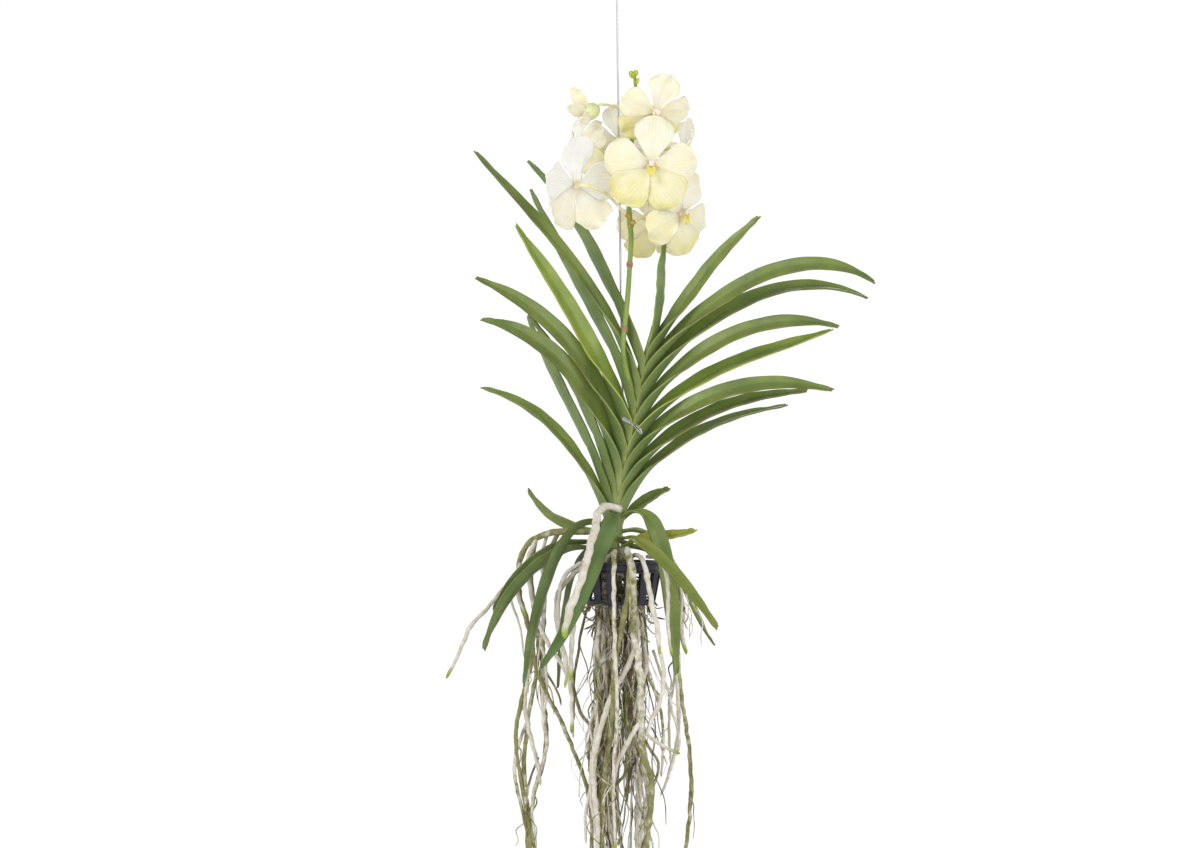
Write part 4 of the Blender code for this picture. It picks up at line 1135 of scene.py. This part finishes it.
# a root's skin: knobbly, thicker here and thinner there, with a rounded growing end
def growRoot(bm, paint, route, radii, seed, tones, green=0.0):
    length = sum((b - a).length for a, b in zip(route, route[1:])) / mm
    count = max(8, int(length / roots["ringEvery"]))
    fine = sized(route, radii, count)
    silver, brown = tones
    sides = roots["sides"] if max(radii) > 1.2 else roots["fewSides"]
    side = None
    rings = []
    for i, p in enumerate(fine):
        place = p.to_3d()
        run = runAt(fine, i)
        side = (side - run * side.dot(run)).normalized() if side else run.orthogonal().normalized()
        share = i / (count - 1)
        wobble = [noise(place * 130 + shift) for shift in (Vector((seed, 0, 0)), Vector((0, seed, 0)))]
        centre = place + Vector((*wobble, 0)) * p.w * 0.5 * smooth(share * 6)
        radius = p.w * (0.95 + 0.2 * noise(place * 90 + Vector((seed, 3, 1))))
        radius *= min(1.0, 0.35 + (1 - share) * length / 4)
        knobbly = lambda turn, way: radius * (1 + 0.09 * noise(place * 420 + way * 1.3))
        rings.append(ringAt(bm, centre, run, side, sides, knobbly))
        tip = green * smooth((share * length - (length - 16)) / 12)
        drift = 0.5 * noise(place * 22 + Vector((seed, seed, 0)))
        for vert in rings[-1]:
            vert[paint] = (min(1, max(0, 1 - silver + drift)), tip, min(1, max(0, brown + 0.6 * drift)), 1)
    ringsToTube(bm, rings)


# thin branches leave a root at an angle, then hang
def growBranches(bm, paint, route, radii, rng, count, reach, tones):
    for _ in range(count):
        i = rng.randrange(1, len(route) - 2)
        start = route[i].lerp(route[i + 1], rng.random())
        out = anyWay(rng)
        long = rng.uniform(*reach) * mm
        line = [start]
        for share in tapered(0.2, 1, 5):
            line.append(start + out * 11 * mm * smooth(share * 1.6) - up * long * share**1.3 + stray(rng, 3))
        radius = min(radii[i] * 0.6, rng.uniform(0.6, 1.2))
        skin = (min(1, max(0, tones[0] + rng.uniform(-0.3, 0.3))), tones[1])
        seed = rng.uniform(0, 50)
        growRoot(bm, paint, line, tapered(radius, radius * 0.55, 6), seed, skin, rng.choice((0, 0, 0.9)))


# keeps a root in its own third of the basket and off the wire
def inThird(point, head):
    local = point - basketAxis(0)
    for inward in (heading(head - 30), heading(head + 30)):
        local += inward * max(0, roots["margin"] * mm - local.dot(inward))
    point = basketAxis(0) + local
    away = (point - at(*hanger["foot"], 0)) * Vector((1, 1, 0))
    return point + away.normalized() * max(0, roots["wireClear"] * mm - away.length)


def knotPlace(head, drop):
    return stemPoint(drop) + heading(head) * roots["knotOut"] * mm


def bottomRoot(head, aim, swing, rng):
    out = heading(aim + rng.uniform(-swing, swing))
    ring = rng.uniform(15, 26)
    end = rng.uniform(790, roots["end"])
    last = rng.uniform(8, 36)
    radius = rng.choice((1.4, 1.8, 2.3, 2.8))
    floor, outside = basket["floorDrop"], basket["floorDrop"] + 6
    line = [knotPlace(head, 612), basketAxis(floor - 12) + out * ring * 0.9 * mm]
    line.append(basketAxis(outside) + out * ring * mm)
    for share in tapered(0.2, 1, 5):
        place = basketAxis(mix(outside, end, share)) + out * mix(ring, last, share) * mm
        line.append(place + stray(rng, 9))
    first, *route = along(line, roots["points"])
    return [first] + [inThird(p, head) for p in route], tapered(radius, radius * 0.7, roots["points"])


def rimRoot(head, over, rng):
    out = heading(over)
    end = rng.uniform(720, 900)
    clear = basket["rimRadius"] + 9
    over = ((590, clear * 0.62), (591, clear - 4), (606, clear + 1))
    line = [knotPlace(head, 600)] + [basketAxis(drop) + out * far * mm for drop, far in over]
    for i in range(1, 5):
        line.append(basketAxis(mix(612, end, i / 4)) + out * (clear - 3 * i) * mm + stray(rng, 5))
    count = roots["points"] + 5
    return along(line, count), tapered(2.5, 1.6, count)


def laidRoot(line):
    points = laid(line, len(line) + 2)
    return [p.to_3d() for p in points], [p.w / mm for p in points]


def buildBunch(name, node, runs, way, seed, branches):
    bm, paint, rng = rootMesh(seed)
    slid = slidBy(node, [p for route, radii, tones, green in runs for p in route], way)
    for route, radii, tones, green in runs:
        route = [p + slid for p in route]
        growRoot(bm, paint, route, radii, rng.uniform(0, 90), tones, green)
        growBranches(bm, paint, route, radii, rng, 0 if tones[0] > 1 else branches, (20, 80), tones)
    showRoots(name, bm, "root_silver" if node == "root_white" else "root_olive", node)


# node, lines, each root's silver and brown, then which way the bunch was slid, its seed and its branches
bunches = {
    "rootWhite": ("root_white", "white", ((1.2, -0.4),), 90, 4, 0),
    "rootsLeft": ("roots_left", "left", ((0.05, 0.1), (0.3, 0.0), (0.2, 0.15), (1.4, -0.5)), 0, 9, 1),
    "rootsRight": ("roots_right", "right", ((0.4, 0.1), (0.3, 0.3), (1.0, 0.0)), 180, 12, 2),
}


def buildRoots():
    for name, (node, lines, tones, way, seed, branches) in bunches.items():
        runs = [(*laidRoot(line), tone, 1.0) for line, tone in zip(roots[lines], tones)]
        buildBunch(name, node, runs, heading(way), seed, branches)
    for node, (head, below, aim, swing, over, seed) in thirds.items():
        rng, pick = random.Random(seed), random.Random(seed + 5)
        routes = [bottomRoot(head, aim, swing, rng) for _ in range(below)]
        routes += [rimRoot(head, angle, rng) for angle in over]
        runs = []
        for route, radii in routes:
            tones = (pick.uniform(0.3, 1.2), pick.uniform(-0.2, 0.6))
            runs.append((route, radii, tones, pick.choice((0, 1))))
        if node == "roots_front_right":
            runs += [(*laidRoot(roots["front"]), (0.35, 0.0), 1), (*laidRoot(roots["pale"]), (1.1, 0.0), 1)]
        knot = [knotPlace(head, drop) for drop in (594, 600, 606, 612, 618, 622)]
        runs.append((knot, [2.5, 4.2, 4.6, 4.4, 3.6, 2.0], (0.5, 0.5), 0))
        buildBunch(node.replace("_", ""), node, runs, -heading(head), seed, 4)


buildRoots()
print("main roots made")


# younger strands that hang among the main roots: how silver, brown and green tipped, then their line
strands = {
    "strandsLeft": (
        (1.4, -0.4, 1, ((-6, -9, 572, 2.6), (-20, -20, 584, 2.8), (-33, -26, 604, 2.9),
            (-40, -30, 640, 2.8), (-45, -32, 680, 2.6), (-46, -32, 718, 2.2))),
        (1.3, -0.3, 1, ((-8, -2, 585, 2.2), (-30, -6, 604, 2.4), (-50, -10, 620, 2.6),
            (-60, -12, 636, 2.5), (-60, -12, 660, 2.4), (-53, -12, 695, 2.3), (-46, -14, 730, 2.1),
            (-45, -14, 772, 1.8))),
        (1.1, 0.0, 0, ((-80, 29, 577, 2.4), (-90, 24, 607, 2.4), (-84, 20, 642, 2.3), (-78, 16, 667, 2.3),
            (-62, 8, 695, 2.2), (-47, 2, 722, 2.0), (-44, 0, 778, 1.4))),
        (1.4, -0.3, 1, ((-98, 33, 604, 2.2), (-101, 32, 622, 2.3), (-98, 28, 642, 2.3), (-90, 24, 658, 1.9))),
        (1.0, 0.0, 0, ((-84, 35, 690, 2.1), (-89, 31, 715, 2.2), (-93, 30, 745, 2.2), (-87, 28, 779, 2.4),
            (-79, 26, 811, 2.0), (-77, 26, 828, 1.5))),
        (0.4, 0.1, 0, ((-90, 32, 762, 1.6), (-96, 28, 779, 1.8), (-103, 28, 801, 1.9),
            (-100, 26, 836, 1.8), (-93, 26, 861, 1.7), (-89, 26, 890, 1.7), (-88, 26, 944, 1.3))),
        (0.5, 0.2, 0, ((-91, 32, 770, 1.5), (-93, 28, 800, 1.7), (-92, 26, 836, 1.6), (-91, 26, 880, 1.5),
            (-87, 26, 958, 1.2))),
        (0.9, 0.0, 0, ((-76, 42, 690, 1.9), (-75, 34, 739, 2.2), (-73, 30, 770, 2.2), (-71, 30, 792, 2.1),
            (-79, 28, 820, 2.0), (-87, 28, 851, 1.9), (-82, 28, 873, 1.7), (-84, 28, 908, 1.3))),
        (0.4, 0.5, 0, ((-79, 28, 800, 1.2), (-84, 30, 812, 1.3), (-90, 28, 833, 1.3), (-91, 28, 860, 1.2),
            (-88, 26, 890, 1.2), (-90, 26, 946, 0.9))),
        (0.3, 0.0, 0, ((-86, 36, 672, 2.2), (-81, 30, 714, 2.3), (-67, 26, 742, 2.3), (-53, 22, 770, 2.3),
            (-40, 18, 802, 2.2), (-28, 14, 836, 2.2), (-25, 10, 888, 2.0), (-24, 8, 952, 1.5))),
        (0.4, 0.3, 0, ((-78, 38, 700, 1.1), (-68, 34, 720, 1.2), (-59, 30, 736, 1.2), (-56, 28, 748, 0.9))),
        (0.4, 0.4, 0, ((-46, 0, 712, 1.9), (-42, 2, 736, 1.9), (-37, 2, 751, 1.9), (-25, 4, 773, 1.9),
            (-29, 6, 793, 1.8), (-26, 8, 817, 1.7), (-24, 8, 872, 1.3))),
        (0.3, 0.5, 0, ((-24, 14, 630, 1.3), (-34, 10, 664, 1.5), (-39, 8, 695, 1.5), (-43, 6, 720, 1.4),
            (-43, 6, 760, 1.0))),
        (1.2, -0.2, 1, ((-18, -14, 600, 2.0), (-44, -22, 606, 2.2), (-56, -24, 626, 2.2),
            (-58, -24, 668, 2.0), (-50, -24, 700, 1.8), (-52, -24, 726, 1.4))),
        (0.8, 0.1, 0, ((-70, 28, 574, 1.9), (-76, 30, 600, 2.0), (-72, 30, 640, 2.0), (-77, 30, 684, 1.9),
            (-70, 30, 716, 1.7), (-74, 30, 758, 1.4))),
        (1.3, -0.3, 0, ((-110, 31, 626, 1.3), (-106, 34, 646, 1.4), (-98, 36, 668, 1.3),
            (-94, 36, 700, 1.0))),
    ),
    "strandsMiddle": (
        (1.4, -0.2, 1, ((18, -20, 646, 2.6), (20, -30, 684, 2.8), (8, -32, 708, 3.0), (-6, -32, 735, 3.1),
            (-16, -32, 765, 3.1), (-24, -30, 812, 3.0), (-19, -28, 857, 2.7), (-21, -26, 900, 2.4),
            (-17, -24, 964, 1.8))),
        (1.3, -0.1, 1, ((27, -37, 750, 2.0), (17, -34, 768, 2.6), (7, -32, 786, 2.8), (0, -30, 801, 2.6),
            (-6, -28, 834, 1.8))),
        (0.2, 0.1, 0, ((0, -9, 600, 3.0), (9, -28, 594, 3.2), (12, -47, 606, 3.4), (10, -47, 642, 3.3),
            (0, -40, 682, 3.1), (-3, -34, 720, 3.0), (-6, -30, 757, 2.9), (-12, -26, 817, 2.7),
            (-15, -24, 864, 2.4), (-14, -22, 938, 1.7))),
        (1.3, -0.2, 1, ((43, -44, 690, 2.0), (46, -38, 716, 2.4), (41, -32, 743, 2.4),
            (30, -30, 766, 2.2), (22, -30, 790, 1.6))),
        (1.1, 0.0, 0, ((-10, -8, 640, 2.1), (-14, -16, 676, 2.3), (-12, -20, 714, 2.4),
            (-20, -20, 768, 2.3), (-27, -20, 820, 2.1), (-20, -18, 880, 1.9), (-22, -16, 948, 1.4))),
        (1.2, 0.1, 0, ((24, 8, 642, 2.3), (28, 4, 690, 2.5), (22, 0, 742, 2.6), (26, 0, 800, 2.5),
            (19, 2, 860, 2.2), (24, 4, 930, 1.7))),
        (0.3, 0.0, 0, ((-2, 14, 642, 2.2), (-5, 14, 700, 2.3), (1, 12, 756, 2.2), (-6, 10, 822, 2.1),
            (-2, 8, 900, 1.7))),
    ),
    "strandsRight": (
        (1.1, -0.1, 0, ((58, 9, 618, 1.9), (61, 8, 668, 2.0), (60, 6, 707, 2.1), (61, 6, 736, 2.1),
            (62, 6, 758, 2.0), (59, 6, 789, 1.9), (52, 4, 815, 1.7), (44, 2, 836, 1.3))),
        (0.7, 0.2, 0, ((36, 2, 690, 1.5), (47, 0, 722, 1.7), (54, 0, 739, 1.7), (55, 0, 757, 1.7),
            (63, 0, 772, 1.6), (60, 0, 796, 1.2))),
        (1.4, -0.3, 1, ((28, -30, 770, 1.8), (38, -20, 779, 2.0), (50, -13, 787, 2.0), (63, -8, 793, 1.5))),
        (0.4, 0.2, 0, ((26, -10, 700, 1.6), (36, -10, 728, 1.7), (44, -10, 751, 1.7), (46, -10, 785, 1.6),
            (44, -10, 816, 1.1))),
        (1.3, -0.2, 1, ((50, 11, 600, 1.6), (58, -2, 604, 2.0), (63, -12, 622, 2.0), (64, -14, 650, 1.9),
            (60, -14, 690, 1.7), (62, -14, 722, 1.3))),
        (0.9, 0.1, 0, ((56, 8, 628, 1.4), (54, 12, 668, 1.6), (58, 12, 712, 1.6), (52, 12, 760, 1.5),
            (55, 12, 812, 1.2))),
        (1.2, -0.1, 1, ((30, -14, 596, 2.0), (44, -34, 600, 2.2), (50, -38, 622, 2.2),
            (50, -38, 660, 2.0), (54, -36, 694, 1.5))),
    ),
}
# seeded strands below the basket: how many, radii, shortest and longest, how far they stray and drift
loose = {
    "strandsThick": (16, (1.3, 1.7, 2.1, 2.6), (150, 335), 5, 26, 31),
    "strandsThin": (34, (0.7, 0.9, 1.1), (90, 320), 6, 34, 57),
    "rootHairs": (64, (0.35, 0.45, 0.55), (40, 230), 7, 40, 83),
}


def straggle(rng, top, radius, long, sway, drift):
    swing = anyWay(rng) * rng.uniform(0, drift) * mm
    line = [top]
    steps = max(4, int(long / 26))
    for share in tapered(1 / steps, 1, steps):
        bend = Vector((rng.gauss(0, sway), rng.gauss(0, sway), 0)) * mm * min(1, share * 3)
        line.append(top + swing * share - up * long * share * mm + bend)
    return line, tapered(radius, radius * 0.55, steps + 1)


def looseTones(rng):
    kind = rng.random()
    if kind < 0.28:
        return rng.uniform(1.0, 1.4), rng.uniform(-0.3, 0.1)
    if kind < 0.66:
        return rng.uniform(0.1, 0.6), rng.uniform(-0.1, 0.3)
    return rng.uniform(0.3, 0.7), rng.uniform(0.6, 1.0)


def buildStrands(name, lines):
    bm, paint, rng = rootMesh(len(name))
    for silver, brown, green, line in lines:
        route, radii = laidRoot(line)
        growRoot(bm, paint, route, radii, rng.uniform(0, 90), (silver, brown), green)
        growBranches(bm, paint, route, radii, rng, 0 if silver > 1 else 1, (20, 60), (silver, brown))
    showRoots(name, bm)


def buildLoose(name, count, sizes, reach, sway, drift, seed):
    bm, paint, rng = rootMesh(seed)
    for _ in range(count):
        top = basketAxis(basket["floorDrop"] - rng.uniform(2, 14)) + anyWay(rng) * rng.uniform(6, 27) * mm
        route, radii = straggle(rng, top, rng.choice(sizes), rng.uniform(*reach), sway, drift)
        growRoot(bm, paint, route, radii, rng.uniform(0, 90), looseTones(rng), rng.choice((0, 0, 1)))
    showRoots(name, bm)


# old dry roots packed in the basket and poking through its slats
tangle = {"count": 90, "reach": (28, 74), "radius": (0.5, 1.3), "within": 34, "steps": 6, "seed": 19}


def buildTangle():
    bm, paint, rng = rootMesh(tangle["seed"])
    within = tangle["within"]
    for _ in range(tangle["count"]):
        line = [basketAxis(rng.uniform(610, 648)) + anyWay(rng) * rng.uniform(10, within) * mm]
        way = Vector((rng.gauss(0, 1), rng.gauss(0, 1), rng.gauss(-0.5, 0.6))).normalized()
        long = rng.uniform(*tangle["reach"])
        for _ in range(tangle["steps"]):
            way = (way + Vector((rng.gauss(0, 0.6), rng.gauss(0, 0.6), rng.gauss(-0.1, 0.5)))).normalized()
            ahead = line[-1] + way * long / tangle["steps"] * mm
            fromAxis = (ahead - basketAxis(0)) * Vector((1, 1, 0))
            if fromAxis.length > within * mm and -ahead.z < basket["floorDrop"] * mm:
                ahead -= fromAxis.normalized() * (fromAxis.length - within * mm)
            line.append(ahead)
        radius = rng.uniform(*tangle["radius"])
        seed = rng.uniform(0, 90)
        growRoot(bm, paint, line, [radius] * len(line), seed, (rng.uniform(0, 0.8), rng.uniform(0.3, 1.1)))
    showRoots("rootTangle", bm)


for name, lines in strands.items():
    buildStrands(name, lines)
for name, numbers in loose.items():
    buildLoose(name, *numbers)
buildTangle()
print("strands and tangle made")


# the plant hangs well above the floor; lights are place, power and size
studio = {
    "floorDrop": 2.0,
    "floorRadius": 6,
    "camera": (-0.017, -3.513, -0.464),
    "lens": 105,
    "glowFrom": 1.2,
    "fade": (0.16, 0.45),
    "horizon": 1.04,
    "aloft": 0.4,
    "key": (-1.6, -2.3, 1.2, 31, 0.9),
    "fill": (2.2, -1.8, 0.0, 15, 1.6),
    "rim": (0.6, 2.4, 1.2, 26, 1.2),
}


# a light tent: bright all round at the plant's height, dimmer above
def buildTent():
    world = bpy.data.worlds.new("studioWorld")
    world.use_nodes = True
    nodes, links = world.node_tree.nodes, world.node_tree.links
    parts = nodes.new("ShaderNodeSeparateXYZ")
    links.new(nodes.new("ShaderNodeTexCoord").outputs["Generated"], parts.inputs[0])
    fade = nodes.new("ShaderNodeMapRange")
    fade.interpolation_type = "SMOOTHSTEP"
    links.new(parts.outputs[2], fade.inputs[0])
    for socket, value in zip(fade.inputs[1:5], (*studio["fade"], studio["horizon"], studio["aloft"])):
        socket.default_value = value
    background = nodes["Background"]
    background.inputs["Color"].default_value = (1, 1, 1, 1)
    links.new(fade.outputs[0], background.inputs["Strength"])
    bpy.context.scene.world = world


# pale paper that brightens outwards, so that it runs into the tent
def buildFloor():
    where = (0, 0, -studio["floorDrop"])
    far = studio["floorRadius"]
    bpy.ops.mesh.primitive_circle_add(vertices=96, radius=far, fill_type="NGON", location=where)
    floor = bpy.context.object
    floor.name = "studioFloor"
    paper = nodeDesk("paleFloor")
    paper.shader.inputs["Base Color"].default_value = (0.9, 0.9, 0.89, 1)
    paper.shader.inputs["Roughness"].default_value = 0.9
    paper.shader.inputs["Emission Color"].default_value = (1, 1, 1, 1)
    away = paper.add("ShaderNodeVectorMath", {0: paper.places}, operation="LENGTH").outputs["Value"]
    paper.feed(paper.shader.inputs["Emission Strength"], paper.span(away, studio["glowFrom"], far, 0, 0.9))
    floor.data.materials.append(paper.material)


def buildStudio():
    buildFloor()
    buildTent()
    aim = Vector(studio["camera"]) * Vector((1, 0, 1))
    for name in ("key", "fill", "rim"):
        *place, power, size = studio[name]
        light = bpy.data.lights.new(name + "Light", "AREA")
        light.energy = power
        light.size = size
        lamp = newObject(name + "Light", light)
        lamp.location = place
        lamp.rotation_euler = (aim - lamp.location).to_track_quat("-Z", "Y").to_euler()
    camera = bpy.data.cameras.new("camera")
    camera.lens = studio["lens"]
    camera.sensor_width = 36
    viewer = newObject("camera", camera)
    viewer.location = studio["camera"]
    viewer.rotation_euler = (radians(90), 0, 0)
    bpy.context.scene.camera = viewer
    bpy.context.scene.view_settings.view_transform = "Standard"


buildStudio()
print("studio made")
